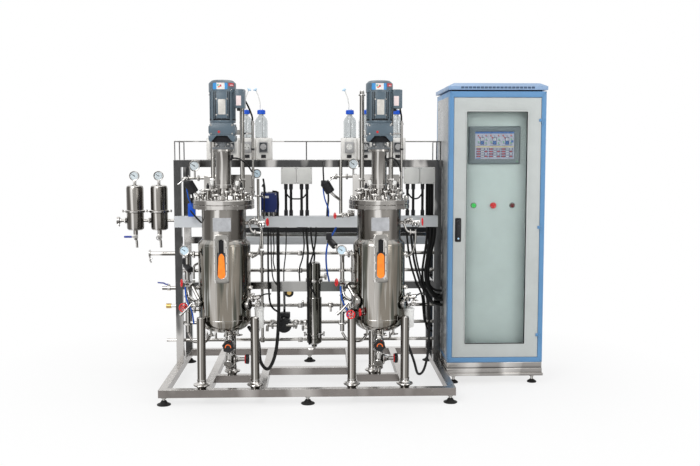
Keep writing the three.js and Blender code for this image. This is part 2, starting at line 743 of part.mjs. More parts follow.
function gearbox() {
  const z1 = GEAR_TOP;
  const z0 = z1 - GEAR_H + GEAR_FOOT_H;
  const half = GEAR_W / 2;
  const c = GEAR_CHAMFER;
  const casing = plateY([
    [-half + c / 2, z0], [half - c / 2, z0], [half, z0 + c], [half, z1 - c],
    [half - c, z1], [-half + c, z1], [-half, z1 - c], [-half, z0 + c],
  ], around(0, GEAR_D));
  const foot = plateY([
    [-half * 0.8, GEAR_BOTTOM], [half * 0.8, GEAR_BOTTOM], [half * 0.55, z0 + 1], [-half * 0.55, z0 + 1],
  ], around(0, GEAR_D * 0.85));
  const neck = barZ(GEAR_NECK_R, 0, 0, [COLUMN_TOP + ADAPTER_T - 1, GEAR_BOTTOM + 1]);
  const flange = barZ(ADAPTER_R, 0, 0, [COLUMN_TOP, COLUMN_TOP + ADAPTER_T]);
  return join(casing, foot, neck, flange);
}

const MOTOR_BODY_Z = GEAR_TOP + MOTOR_BASE_T;
const COWL_Z = MOTOR_BODY_Z + MOTOR_BODY_H;
const COWL_TOP = COWL_Z + COWL_H;

function motor() {
  const body = turned([
    [0, GEAR_TOP],
    [MOTOR_FIN_R, GEAR_TOP],
    [MOTOR_FIN_R, MOTOR_BODY_Z],
    [MOTOR_R, MOTOR_BODY_Z],
    [MOTOR_R, COWL_Z],
    [COWL_R, COWL_Z],
    [COWL_R, COWL_TOP - COWL_CHAMFER],
    [COWL_R - COWL_CHAMFER, COWL_TOP],
    [0, COWL_TOP],
  ]);
  const fins = [];
  for (let i = 0; i < MOTOR_FINS; i += 1) {
    const fin = block([MOTOR_R - 4, MOTOR_FIN_R], around(0, 4), [MOTOR_BODY_Z - 1, COWL_Z + 1]);
    fins.push(fin.rotateZ((i / MOTOR_FINS) * Math.PI * 2));
  }
  const boxTop = COWL_Z + TERMINAL.height - TERMINAL.below;
  const box = block([MOTOR_R - 14, TERMINAL.reach], around(0, TERMINAL.depth), [boxTop - TERMINAL.height, boxTop]);
  return join(body, ...fins, box);
}

// Cable from the back of the terminal box over and down into the conduit behind the motor.
function motorCable() {
  const exit = TERMINAL.depth / 2 + FIT;
  const x = TERMINAL.reach - 14;
  const z = COWL_Z - 45;
  const slackTop = CONDUIT_TOP + 28;
  return cord([
    [x, exit, z], [x, exit + 4, z], [x, exit + 8, z], [x, exit + 16, z], [x, 72, z - 0.5],
    [x + 2, 96, z - 3], [x + 6, 122, z - 9], [x + 11, 150, z - 19], [x + 17, 180, z - 34],
    [x + 24, 208, z - 53], [x + 30, 232, z - 73],
    [CONDUIT_X - 1.5, CONDUIT_Y - 8, slackTop], [CONDUIT_X, CONDUIT_Y, slackTop - 14],
    [CONDUIT_X, CONDUIT_Y, slackTop - 21], [CONDUIT_X, CONDUIT_Y, CONDUIT_TOP + FIT],
  ], MOTOR_CABLE_R, 18);
}

function agitator() {
  const shaft = barZ(SHAFT_R, 0, 0, SHAFT_Z, POLE);
  const stages = IMPELLERS_Z.flatMap((z) => {
    const hub = barZ(SHAFT_R + 8, 0, 0, around(z, 34), SLIM);
    const disc = barZ(IMPELLER_DISC_R, 0, 0, around(z, 3));
    const blades = Array.from({ length: BLADES }, (_, i) => {
      const blade = block([IMPELLER_DISC_R - 16, IMPELLER_R], around(0, 3), around(z, 26));
      return blade.rotateZ((i / BLADES) * Math.PI * 2);
    });
    return [hub, disc, ...blades];
  });
  return join(shaft, ...stages);
}

function bottomValve() {
  const top = JACKET_BOTTOM - DISH_DEPTH;
  const [drainBottom, drainTop] = DRAIN_Z;
  const stack = turned([
    [0, drainBottom - 20],
    [12, drainBottom - 20],
    [12, drainBottom],
    [DRAIN_BODY_R, drainBottom],
    [DRAIN_BODY_R, drainTop],
    [OUTLET_R, drainTop],
    [OUTLET_R, top - 14],
    [OUTLET_FLANGE_R, top - 14],
    [OUTLET_FLANGE_R, top],
    [0, top],
  ]);
  const bonnet = barY(16, 0, KNOB_Z, [-KNOB_REACH, 0]);
  const sideBonnet = barX(13, 0, DRAIN_KNOB_Z, [0, DRAIN_KNOB_REACH], SLIM);
  return join(stack, bonnet, sideBonnet);
}

// Lobed grip knob, drawn on Y with its back face at zero.
function lobedKnob(r, t) {
  const outline = [];
  const steps = KNOB_LOBES * 6;
  for (let i = 0; i < steps; i += 1) {
    const a = (i / steps) * Math.PI * 2;
    const reach = r * (0.93 + 0.07 * Math.cos(a * KNOB_LOBES));
    outline.push([Math.cos(a) * reach, Math.sin(a) * reach]);
  }
  return plateY(outline, [-t, 0]);
}

function bottomKnob() {
  return lobedKnob(KNOB_R, KNOB_T).translate(0, -KNOB_REACH - FIT, KNOB_Z);
}

function drainKnob() {
  const knob = lobedKnob(DRAIN_KNOB_R, DRAIN_KNOB_T).rotateZ(Math.PI / 2);
  return knob.translate(DRAIN_KNOB_REACH + FIT, 0, DRAIN_KNOB_Z);
}

// Side pipework: a header tapped twice into the jacket, a gauge on top, a valve in front.
function sideValves(side) {
  const wheel = WHEELS[side];
  const tapEnd = -JACKET_R - FIT;
  const [low, high] = HEADER_Z;
  const { reach, left, above } = HEADER_GAUGE;
  const taps = HEADER_TAPS_Z.map((z) => barX(HEADER_TAP_R, 0, z, [HEADER_X, tapEnd], SLIM));
  const gaugeStem = barY(7, HEADER_X, high - 7, [-reach, 0], SLIM);
  const gauge = barY(GAUGE_R, HEADER_X - left, high + above, [-reach - GAUGE_D, 1 - reach]);
  const valveX = [Math.min(HEADER_X, wheel.x) - 14, Math.max(HEADER_X, wheel.x) + 14];
  const valve = block(valveX, around(0, 40), around(wheel.z, 52));
  const bonnet = barY(9, wheel.x, wheel.z, [-wheel.reach, 0], SLIM);
  return join(barZ(HEADER_R, HEADER_X, 0, [low, high], SLIM), ...taps, gaugeStem, gauge, valve, bonnet);
}

function handwheel(side) {
  const { x, z, reach } = WHEELS[side];
  const ring = cut(barY(WHEEL_R, 0, 0, [-WHEEL_T, 0]), barY(WHEEL_R - 8, 0, 0, [-WHEEL_T - 1, 1]));
  const hub = barY(8, 0, 0, [-WHEEL_T, 0], SLIM);
  const spoke = block(around(0, WHEEL_R * 2 - 8), [-WHEEL_T + 2, -3], around(0, 7));
  const spokes = [0, 1, 2].map((i) => spoke.clone().rotateY((i * Math.PI) / 3));
  return join(ring, hub, ...spokes).translate(x, -reach - FIT, z);
}

function vesselStation(side) {
  const outletX = OUTLETS_X[side];
  const station = new THREE.Group();
  station.position.set(VESSELS_X[side], VESSEL_Y, 0);
  station.add(
    piece(`vessel_${side}`, vessel(side), STEEL),
    piece(`sight_glass_frame_${side}`, sightFrame(), STEEL),
    piece(`vessel_lid_${side}`, lid(), STEEL),
    piece(`drive_column_${side}`, driveColumn(), STEEL),
    piece(`gearbox_${side}`, gearbox(), MOTOR_PAINT),
    piece(`motor_${side}`, motor(), MOTOR_PAINT),
    piece(`motor_cable_${side}`, motorCable(), RUBBER),
    piece(`agitator_${side}`, agitator(), STEEL),
    piece(`bottom_valve_${side}`, bottomValve().translate(outletX, 0, 0), STEEL),
    piece(`bottom_valve_knob_${side}`, bottomKnob().translate(outletX, 0, 0), BLACK_PLASTIC),
    piece(`drain_knob_${side}`, drainKnob().translate(outletX, 0, 0), BLACK_PLASTIC),
    piece(`side_valves_${side}`, sideValves(side), STEEL),
    piece(`handwheel_${side}`, handwheel(side), RED_PLASTIC),
  );
  return station;
}

// ---------------------------------------------------------------- control cabinet
const CABINET_X = around(CABINET_MIDDLE, CABINET.w);
const CABINET_Y = [CABINET.y, CABINET.y + CABINET.d];
const HINGE_X = DOOR.right + HINGE_OFFSET;
const DOOR_FRONT = CABINET.y + DOOR.setBack;
const HINGE_Y = DOOR_FRONT - HINGE_PROUD;

function cabinetBase() {
  const grown = ([low, high]) => [low - PLINTH_LIP, high + PLINTH_LIP];
  const lip = block(grown(CABINET_X), grown(CABINET_Y), [CABINET_TOE, CABINET_TOE + PLINTH_LIP_H]);
  const plinth = block(CABINET_X, CABINET_Y, [CABINET_TOE, CABINET.bottom]);
  const feet = CABINET_X.flatMap((x, i) =>
    CABINET_Y.map((y, j) => {
      const at = [x + (i ? -1 : 1) * FOOT_INSET, y + (j ? -1 : 1) * FOOT_INSET];
      const pad = barZ(FOOT_PAD_R * 0.75, ...at, [0, FOOT_PAD_H], POLE);
      return join(pad, barZ(FOOT_STEM_R, ...at, [FOOT_PAD_H - 1, CABINET_TOE + 1], SLIM));
    }),
  );
  return join(lip, plinth, ...feet);
}

function knuckle(middle, half) {
  const z = half === 'upper' ? [middle, middle + HINGE_H / 2] : [middle - HINGE_H / 2, middle - FIT];
  const barrel = barZ(HINGE_R, HINGE_X, HINGE_Y, z, SLIM);
  const doorLeaf = block([DOOR.right - 14, HINGE_X], [HINGE_Y - 2, DOOR_FRONT + 1], z);
  const frameLeaf = block([HINGE_X - 3, HINGE_X + HINGE_R], [HINGE_Y, CABINET.y + 1], z);
  return join(barrel, half === 'upper' ? doorLeaf : frameLeaf);
}

function cabinetBody() {
  const { wall, bottom, top } = CABINET;
  const frontFrame = DOOR.t + DOOR.setBack + DOOR_STOP;
  const shell = block(CABINET_X, CABINET_Y, [bottom, top]);
  const room = block(
    [CABINET_X[0] + wall, CABINET_X[1] - wall],
    [CABINET.y + frontFrame, CABINET_Y[1] - wall],
    [bottom + wall, top - wall],
  );
  const doorway = block(
    [DOOR.left - DOOR.gap, DOOR.right + DOOR.gap],
    [CABINET.y - 1, CABINET.y + frontFrame + 1],
    [DOOR.bottom - DOOR.gap, DOOR.top + DOOR.gap],
  );
  const gland = barX(HOSE_GLAND.r, DUCT_MIDDLE_Y, HOSE_GLAND.z, [CABINET_X[0] - HOSE_GLAND.l, CABINET_X[0] + 1]);
  return join(cut(shell, room, doorway), ...HINGES_Z.map((z) => knuckle(z, 'lower')), gland);
}

function cabinetRoof() {
  const grown = ([low, high], by) => [low - by, high + by];
  const base = CABINET.top + ROOF_NECK;
  const eaves = base + ROOF_H * 0.55;
  const neck = block(grown(CABINET_X, -ROOF_NECK_INSET), grown(CABINET_Y, -ROOF_NECK_INSET), [CABINET.top, base + 1]);
  const slab = block(grown(CABINET_X, ROOF_OVERHANG), grown(CABINET_Y, ROOF_OVERHANG), [base, eaves]);
  const width = CABINET.w + 2 * ROOF_OVERHANG;
  const depth = CABINET.d + 2 * ROOF_OVERHANG;
  const hip = new THREE.CylinderGeometry(Math.SQRT1_2, Math.SQRT1_2, 1, 4, 1).rotateX(Math.PI / 2);
  hip.rotateZ(Math.PI / 4).translate(0, 0, 0.5);
  const corners = hip.getAttribute('position');
  for (let i = 0; i < corners.count; i += 1) {
    const inward = corners.getZ(i) > 0.5 ? ROOF_SLOPE_IN : 0;
    corners.setX(i, Math.sign(Math.round(corners.getX(i) * 4)) * (width / 2 - inward));
    corners.setY(i, Math.sign(Math.round(corners.getY(i) * 4)) * (depth / 2 - inward));
  }
  hip.scale(1, 1, base + ROOF_H - eaves).translate(CABINET_MIDDLE, CABINET.y + CABINET.d / 2, eaves);
  return join(neck, slab, hip);
}

function cabinetDoor() {
  const y = [DOOR_FRONT, DOOR_FRONT + DOOR.t];
  const leaf = block([DOOR.left, DOOR.right], y, [DOOR.bottom, DOOR.top]);
  const x = [WINDOW.left, WINDOW.right];
  const z = [WINDOW.bottom, WINDOW.top];
  const light = block(x, [y[0] - 1, y[1] + 1], z);
  const grow = ([low, high]) => [low - WINDOW.rebate, high + WINDOW.rebate];
  const rebate = block(grow(x), [y[1] - WINDOW.t - 1, y[1] + 1], grow(z));
  const plate = block(
    around(HANDLE.x, HANDLE.w + 14), [y[0] - HANDLE.plate, y[0] + 1],
    [HANDLE.pivot - HANDLE.length + 14, HANDLE.pivot + 28],
  );
  return join(cut(leaf, light, rebate), plate, ...HINGES_Z.map((at) => knuckle(at, 'upper')));
}

function doorGlass() {
  const back = DOOR_FRONT + DOOR.t;
  const grow = ([low, high]) => [low - WINDOW.rebate + FIT, high + WINDOW.rebate - FIT];
  return block(
    grow([WINDOW.left, WINDOW.right]),
    [back - WINDOW.t - 1, back - 1],
    grow([WINDOW.bottom, WINDOW.top]),
  );
}

function doorHandle() {
  const front = DOOR_FRONT - HANDLE.plate - FIT;
  const lever = block(
    around(HANDLE.x, HANDLE.w), [front - HANDLE.t, front],
    [HANDLE.pivot - HANDLE.length + 20, HANDLE.pivot],
  );
  return join(lever, barY(HANDLE.w / 2, HANDLE.x, HANDLE.pivot, [front - HANDLE.t, front]));
}

const PANEL_FRONT = CABINET.y + PANEL_SETBACK;

function controlPanel() {
  const inner = CABINET.wall + FIT;
  const x = [CABINET_X[0] + inner, CABINET_X[1] - inner];
  const z = [CABINET.bottom + inner, CABINET.top - inner];
  const plate = block(x, [PANEL_FRONT, PANEL_FRONT + PANEL_T], z);
  const { x: screenX, z: screenZ, w, h, t } = SCREEN_HOUSING;
  const screen = block(around(screenX, w), [PANEL_FRONT - t, PANEL_FRONT + 1], around(screenZ, h));
  const collar = barY(ESTOP.stem + 6, ESTOP.x, CONTROLS_Z, [PANEL_FRONT - ESTOP.collar, PANEL_FRONT + 1]);
  const stemHole = barY(
    ESTOP.stem + ESTOP.fit, ESTOP.x, CONTROLS_Z, [PANEL_FRONT - 20, PANEL_FRONT + PANEL_T + 1],
  );
  return cut(join(plate, screen, collar), stemHole);
}

function stopButton() {
  const back = PANEL_FRONT - ESTOP.collar - ESTOP.travel - FIT;
  const head = barY(ESTOP.r, ESTOP.x, CONTROLS_Z, [back - ESTOP.head, back]);
  const stem = barY(ESTOP.stem, ESTOP.x, CONTROLS_Z, [back - 1, PANEL_FRONT + PANEL_T + ESTOP.tail]);
  return join(head, stem);
}

// Hose with the wiring from the upper duct to the gland in the cabinet's side.
function cabinetHose() {
  const y = DUCT_MIDDLE_Y;
  const top = DUCT_HI_Z;
  const low = HOSE_GLAND.z;
  const past = (inset) => HALF_W - inset;
  return cord([
    [past(54), y, top - FIT], [past(54), y, top - 8], [past(54), y, top - 15],
    [past(54), y, top - 35], [past(60), y - 1, top - 90],
    [past(72), y - 1, top - 145], [past(85), y - 1, top - 200], [past(94), y - 1, top - 255],
    [past(98), y - 1, top - 310], [past(95), y - 1, low + 120], [past(84), y - 1, low + 72],
    [past(62), y - 1, low + 32], [past(32), y, low + 6], [past(11), y, low], [past(5), y, low],
    [CABINET_X[0] - HOSE_GLAND.l - FIT, y, low],
  ], HOSE_R, 22);
}

// ---------------------------------------------------------------- assembly
const model = new THREE.Group();

model.add(
  piece('skid_frame', skidFrame(), BRUSHED),
  piece('rear_frame', rearFrame(), STEEL),
  piece('cable_duct_upper', upperDuct(), DUCT_GREY),
  piece('cable_duct_lower', lowerDuct(), DUCT_GREY),
  piece('service_pipes', pipeRack(), STEEL),
);

const footRows = { front: FOOT_INSET, back: SKID_DEPTH - FOOT_INSET };
const footColumns = { left: FOOT_INSET - HALF_W, middle: 0, right: HALF_W - FOOT_INSET };
for (const [row, y] of Object.entries(footRows)) {
  for (const [column, x] of Object.entries(footColumns)) {
    const foot = piece(`skid_foot_${row}_${column}`, skidFoot(), RUBBER);
    foot.position.set(x, y, 0);
    model.add(foot);
  }
}

PUMP_BANKS_X.forEach((x, i) => {
  const bank = piece(`pump_bank_${i ? 'right' : 'left'}`, pumpBank(), BOX_GREY);
  bank.position.x = x;
  model.add(bank);
});

JUNCTIONS_X.forEach((x, i) => {
  const boxes = piece(`junction_boxes_${i ? 'right' : 'left'}`, junctionBoxes(), BOX_GREY);
  boxes.position.x = x;
  model.add(boxes);
});

BOTTLES_X.forEach((x, i) => {
  const flask = piece(`bottle_${i + 1}`, bottle(), BOTTLE_GLASS);
  flask.position.set(x, BOTTLE_Y, FRAME_TOP + PUMP_BANK_H);
  model.add(flask);
});

model.add(
  piece('filter_housing_outer', outerFilter(FILTERS_X), STEEL),
  piece('filter_housing_inner', innerFilter(FILTERS_X), STEEL),
  piece('drain_lever', drainLever(), BLUE_PLASTIC),
  piece('heat_exchanger', heatExchanger(), STEEL),
  piece('circulation_pump', circulationPump(), BLACK_PLASTIC),
  vesselStation('left'),
  vesselStation('right'),
);

model.add(
  piece('cabinet_base', cabinetBase(), BRUSHED),
  piece('cabinet_body', cabinetBody(), CABINET_BLUE),
  piece('cabinet_roof', cabinetRoof(), CABINET_WHITE),
  piece('cabinet_door', cabinetDoor(), CABINET_WHITE),
  piece('cabinet_door_glass', doorGlass(), GLASS),
  piece('cabinet_door_handle', doorHandle(), BLACK_PLASTIC),
  piece('control_panel', controlPanel(), PANEL_PAINT),
  piece('emergency_stop', stopButton(), RED_PLASTIC),
  piece('cabinet_hose', cabinetHose(), RUBBER),
);

// The origin is at the middle of the footprint, on the floor. Loose cords don't count.
const CORDS = ['motor_cable_left', 'motor_cable_right', 'cabinet_hose'];
const size = new THREE.Box3();
model.updateMatrixWorld(true);
model.traverse((child) => {
  if (child.isMesh && !CORDS.includes(child.name)) size.expandByObject(child, true);
});
const middle = size.getCenter(new THREE.Vector3());
model.position.set(-middle.x, -middle.y, 0);

export default model;
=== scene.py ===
"""Builds a pair of stirred steel vessels on a piped skid, with the glazed control cabinet beside it."""
import itertools
import math

import bmesh
import bpy
from mathutils import Matrix, Vector


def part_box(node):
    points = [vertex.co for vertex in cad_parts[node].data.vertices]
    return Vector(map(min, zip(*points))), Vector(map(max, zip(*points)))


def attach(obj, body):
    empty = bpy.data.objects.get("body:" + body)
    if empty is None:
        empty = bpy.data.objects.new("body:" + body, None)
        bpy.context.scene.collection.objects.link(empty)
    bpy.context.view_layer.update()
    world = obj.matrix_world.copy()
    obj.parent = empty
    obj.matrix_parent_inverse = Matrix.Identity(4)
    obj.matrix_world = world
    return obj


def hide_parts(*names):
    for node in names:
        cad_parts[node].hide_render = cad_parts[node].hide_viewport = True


bl_info = {
    "name": "Twin vessel bioreactor",
    "version": (1, 0, 0),
    "blender": (4, 5, 0),
    "location": "3D View > Sidebar > Bioreactor",
    "description": "Builds two stirred vessels, the skid that carries them and their control cabinet",
    "category": "Object",
}

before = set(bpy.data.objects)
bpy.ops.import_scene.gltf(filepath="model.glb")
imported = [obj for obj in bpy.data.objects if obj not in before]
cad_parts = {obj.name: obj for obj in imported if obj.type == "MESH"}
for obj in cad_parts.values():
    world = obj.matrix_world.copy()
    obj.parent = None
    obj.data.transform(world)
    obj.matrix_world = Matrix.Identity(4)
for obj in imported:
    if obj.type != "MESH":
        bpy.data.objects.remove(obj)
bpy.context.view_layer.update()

MM = 0.001
SIDES = ("left", "right")
CREASE = math.radians(34)
UP, FRONT, RIGHT = Vector((0, 0, 1)), Vector((0, -1, 0)), Vector((1, 0, 0))


def vessel_axis(side):
    """Foot of the vessel's centre line, on the floor."""
    low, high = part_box(f"drive_column_{side}")
    return Vector(((low.x + high.x) / 2, (low.y + high.y) / 2, 0))


SKID = Vector((sum(corner.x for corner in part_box("skid_frame")) / 2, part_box("skid_frame")[0].y, 0))


def box_mm(node, datum=SKID):
    """Lowest and highest corner of a CAD node, in millimetres from a datum in metres."""
    return tuple((corner - datum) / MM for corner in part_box(node))


# --- shapes
def around(middle, size):
    """A span of the given size about a middle."""
    return middle - size / 2, middle + size / 2


def polar(radius, degrees, height=0.0):
    """A point about the datum's centre line. Zero degrees is the front, and it runs anticlockwise."""
    turn = math.radians(degrees - 90)
    return Vector((radius * math.cos(turn), radius * math.sin(turn), height))


def on_face(spot, radius, degrees):
    """A point round a place on a front face. Zero degrees is to the right."""
    turn = math.radians(degrees)
    return Vector(spot) + Vector((radius * math.cos(turn), 0, radius * math.sin(turn)))


def unit(way):
    return Vector(way).normalized()


def about_axis(degrees):
    return Matrix.Rotation(math.radians(degrees), 4, "Z")


def rounded_box(width, height, corner, steps=4):
    """Outline of a plate with round corners, about its middle."""
    half_w, half_h = width / 2 - corner, height / 2 - corner
    points = []
    for quarter, (sx, sz) in enumerate(((1, 1), (-1, 1), (-1, -1), (1, -1))):
        for step in range(steps + 1):
            turn = math.pi / 2 * (quarter + step / steps)
            points.append((sx * half_w + corner * math.cos(turn), sz * half_h + corner * math.sin(turn)))
    return points


def shifted(outline, x, z):
    return [(px + x, pz + z) for px, pz in outline]


def eased(points, bend):
    """Turns each corner of a route into a bend."""
    points = [Vector(p) for p in points]
    route = [points[0]]
    for before, corner, after in zip(points, points[1:], points[2:]):
        back = before - corner
        ahead = after - corner
        reach = min(bend, back.length * 0.48, ahead.length * 0.48)
        start = corner + back.normalized() * reach
        end = corner + ahead.normalized() * reach
        for step in range(6):
            t = step / 5
            route.append(start.lerp(corner, t).lerp(corner.lerp(end, t), t))
    route.append(points[-1])
    return [p for i, p in enumerate(route) if i == 0 or (p - route[i - 1]).length > 0.05]


class Shape:
    """A piece being modelled, in millimetres from its datum."""

    def __init__(self, datum=SKID):
        self.datum = datum
        self.form = bmesh.new()
        self.paints = []

    def take(self, part, paint, move=None):
        """Adds a part to the piece in one finish."""
        if paint not in self.paints:
            self.paints.append(paint)
        for face in part.faces:
            face.material_index = self.paints.index(paint)
        if move is not None:
            part.transform(move)
        mesh = bpy.data.meshes.new("part")
        part.to_mesh(mesh)
        part.free()
        self.form.from_mesh(mesh)
        bpy.data.meshes.remove(mesh)

    def block(self, x, y, z, paint, edge=1.0, move=None):
        part = bmesh.new()
        size = Vector((x[1] - x[0], y[1] - y[0], z[1] - z[0]))
        middle = Vector((x[0] + x[1], y[0] + y[1], z[0] + z[1])) / 2
        place = Matrix.Translation(middle) @ Matrix.Diagonal((*size, 1))
        bmesh.ops.create_cube(part, size=1, matrix=place)
        soften(part, part.edges[:], min(edge, 0.4 * min(size)))
        self.take(part, paint, move)

    def turned(self, profile, paint, spot=(0, 0, 0), along=(0, 0, 1), steps=40, ring=False, sweep=None, facing=0):
        """Spins a profile of (radius, height) pairs. A ring's profile is closed on itself, and any other runs in
        to the axis at both ends. A sweep makes only the part that faces that way."""
        part = bmesh.new()
        if not ring:
            (foot_radius, foot), (top_radius, top) = profile[0], profile[-1]
            profile = [(0, foot)] * (foot_radius > 0) + profile + [(0, top)] * (top_radius > 0)
        points = [part.verts.new((radius, 0, height)) for radius, height in profile]
        for a, b in zip(points, points[1:]):
            part.edges.new((a, b))
        if ring:
            part.edges.new((points[-1], points[0]))
        angle = math.tau if sweep is None else math.radians(sweep)
        bmesh.ops.spin(part, geom=part.verts[:] + part.edges[:], cent=(0, 0, 0), axis=(0, 0, 1),
                       angle=angle, steps=steps, use_merge=sweep is None)
        bmesh.ops.remove_doubles(part, verts=part.verts[:], dist=0.001)
        if sweep is not None:
            part.transform(Matrix.Rotation(math.radians(facing - 90) - angle / 2, 4, "Z"))
            bmesh.ops.holes_fill(part, edges=part.edges[:])
        turn = UP.rotation_difference(Vector(along)).to_matrix().to_4x4()
        self.take(part, paint, Matrix.Translation(Vector(spot)) @ turn)

    def rod(self, start, end, radius, paint="bright_steel", edge=0.8, steps=20):
        start, end = Vector(start), Vector(end)
        length = (end - start).length
        e = min(edge, radius * 0.35, length * 0.35)
        profile = [(radius - e, 0), (radius, e), (radius, length - e), (radius - e, length)]
        self.turned(profile, paint, start, end - start, steps)

    def bar(self, x, y, z, *look, **more):
        """A rod along the axis that is given as a span."""
        ends = zip(*[value if isinstance(value, tuple) else (value, value) for value in (x, y, z)])
        self.rod(*ends, *look, **more)

    def tube_ring(self, spot, along, radius, thick, paint="bright_steel", steps=32, sides=10):
        """A round wire bent into a ring."""
        turns = [math.tau * i / sides for i in range(sides)]
        profile = [(radius + thick * math.cos(t), thick * math.sin(t)) for t in turns]
        self.turned(profile, paint, spot, along, steps, ring=True)

    def pipe(self, points, radius, paint="pipe_steel", bend=24, steps=14):
        """Carries a round section along a route."""
        route = eased(points, bend)
        part = bmesh.new()
        heading = (route[1] - route[0]).normalized()
        turn = UP.rotation_difference(heading).to_matrix().to_4x4()
        bmesh.ops.create_circle(part, cap_ends=True, radius=radius, segments=steps,
                                matrix=Matrix.Translation(route[0]) @ turn)
        rim = part.edges[:]
        for i in range(1, len(route)):
            made = bmesh.ops.extrude_edge_only(part, edges=rim)["geom"]
            fresh = [v for v in made if isinstance(v, bmesh.types.BMVert)]
            rim = [e for e in made if isinstance(e, bmesh.types.BMEdge) and all(v in fresh for v in e.verts)]
            bmesh.ops.translate(part, verts=fresh, vec=route[i] - route[i - 1])
            arriving = (route[i] - route[i - 1]).normalized()
            leaving = (route[min(i + 1, len(route) - 1)] - route[i]).normalized() or arriving
            ahead = (arriving + leaving).normalized()
            bmesh.ops.rotate(part, verts=fresh, cent=route[i], matrix=heading.rotation_difference(ahead).to_matrix())
            heading = ahead
        bmesh.ops.contextual_create(part, geom=rim)
        self.take(part, paint)

    def plate(self, outline, depth, paint, edge=0.8, hole=None):
        """An outline in X and Z, from depth[0] to depth[1] along Y, with an opening if a hole is given."""
        part = bmesh.new()
        loops = []
        for points in (outline, hole) if hole else (outline,):
            corners = [part.verts.new((x, depth[0], z)) for x, z in points]
            if hole:
                loops += [part.edges.new(pair) for pair in zip(corners, corners[1:] + corners[:1])]
            else:
                part.faces.new(corners)
        if hole:
            bmesh.ops.bridge_loops(part, edges=loops)
        made = bmesh.ops.extrude_face_region(part, geom=part.faces[:])["geom"]
        moved = [v for v in made if isinstance(v, bmesh.types.BMVert)]
        bmesh.ops.translate(part, verts=moved, vec=(0, depth[1] - depth[0], 0))
        rims = [e for e in part.edges if abs(e.verts[0].co.y - e.verts[1].co.y) < 1e-4 and e.calc_face_angle(0) > 1]
        soften(part, rims, edge)
        self.take(part, paint)

    def bolt(self, spot, along, size, head=None):
        """A hexagon head on a washer."""
        spot, along = Vector(spot), unit(along)
        thick = head or size * 0.7
        self.rod(spot, spot + along * (size * 0.18), size * 1.05, edge=0.3, steps=14)
        self.rod(spot, spot + along * (size * 0.18 + thick), size * 0.82, steps=6)

    def bolts(self, xs, ys, zs, along, size, head=None):
        """A bolt at every crossing of the given places."""
        for spot in itertools.product(xs, ys, zs):
            self.bolt(spot, along, size, head)

    def bolt_ring(self, count, first, radius, height, along, size, head=None):
        """Bolts round the datum's centre line, pointing outwards if no way is given."""
        for i in range(count):
            turn = 360 * i / count + first
            self.bolt(polar(radius, turn, height), along or polar(1, turn), size, head)

    def stub(self, foot, out, length, radius, clamp, wing=None):
        """A short pipe with a clamp by its end."""
        self.rod(foot, foot + out * length, radius, "shell_steel")
        self.clamp(foot + out * (length - 4), out, clamp, wing=wing)

    def clamp(self, spot, along, radius, thick=14, wing=None):
        """A pipe clamp round a joint, with its wing nut off to one side."""
        spot, along = Vector(spot), unit(along)
        half = thick / 2
        r = radius
        self.turned([(r * 0.6, -half), (r * 0.88, -half), (r, -half * 0.55), (r, half * 0.55), (r * 0.88, half),
                     (r * 0.6, half)], "bright_steel", spot, along, 32, ring=True)
        if wing is None:
            return
        wing = unit(wing)
        across = along.cross(wing)
        root = spot + wing * (r + 2)
        tip, lean = root + across * 16, along * 2 + across * 3
        for start, end, size, edge, steps in ((root - across * 11, root + across * 11, 5, 1, 12),
                                              (root + across * 4, root + across * 24, 2.6, 0.5, 10),
                                              (tip - wing * 9, tip + wing * 9, 2.4, 0.8, 10),
                                              (tip - lean, tip + lean, 5, 1, 12)):
            self.rod(start, end, size, edge=edge, steps=steps)

    def gauge(self, spot, facing, radius, dial="dial_white"):
        """A round pressure gauge with its needle, scale and glass rim."""
        spot, facing = Vector(spot), unit(facing)
        turn = Matrix.Translation(spot) @ FRONT.rotation_difference(facing).to_matrix().to_4x4()
        r = radius
        self.turned([(r * 0.9, -r * 0.7), (r * 0.97, -r * 0.6), (r * 0.97, -r * 0.12), (r, -r * 0.1),
                     (r, r * 0.06), (r * 0.94, r * 0.1), (r * 0.80, r * 0.02)],
                    "flange_steel", spot, facing, 36)
        self.rod(spot, spot + facing * (r * 0.04), r * 0.8, dial, 0.2, 36)
        face = -r * 0.05
        for mark in range(11):
            swing = Matrix.Rotation(math.radians(135 - 27 * mark), 4, "Y")
            long = 0.2 if mark % 5 == 0 else 0.12
            self.block(around(0, r * 0.05), (face - 0.3, face), (r * (0.76 - long), r * 0.76), "print_black", 0,
                       turn @ swing)
        needle = Matrix.Rotation(math.radians(-58), 4, "Y")
        self.block(around(0, r * 0.1), (face - 1.2, face - 0.6), (-r * 0.18, r * 0.62), "print_black", 0.1,
                   turn @ needle)
        self.rod(spot + facing * (-face), spot + facing * (-face + 1.8), r * 0.1, "print_black", 0.2, 12)

    def finish(self, name, *replaces, body="frame"):
        """Makes the piece an object that rides on a body and stands for the CAD nodes it replaces."""
        form = self.form
        form.transform(Matrix.Translation(self.datum) @ Matrix.Scale(MM, 4))
        bmesh.ops.recalc_face_normals(form, faces=form.faces[:])
        for face in form.faces:
            face.smooth = True
        for edge in form.edges:
            edge.smooth = edge.calc_face_angle(0) < CREASE
        mesh = bpy.data.meshes.new(name)
        form.to_mesh(mesh)
        form.free()
        for paint in self.paints:
            mesh.materials.append(finish_named(paint))
        piece = placed(name, mesh)
        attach(piece, body)
        if replaces:
            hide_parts(*replaces)


def begin(node, side=None):
    """A new shape, and its CAD node's lowest and highest corner, all from one datum."""
    datum = vessel_axis(side) if side else SKID
    return Shape(datum), *box_mm(node, datum)


def soften(part, edges, width, steps=2):
    if width > 0:
        bmesh.ops.bevel(part, geom=edges, offset=width, offset_type="OFFSET", segments=steps, profile=0.5,
                        affect="EDGES", material=-1, clamp_overlap=True)


def placed(name, data):
    """A new object in the scene."""
    made = bpy.data.objects.new(name, data)
    bpy.context.scene.collection.objects.link(made)
    return made


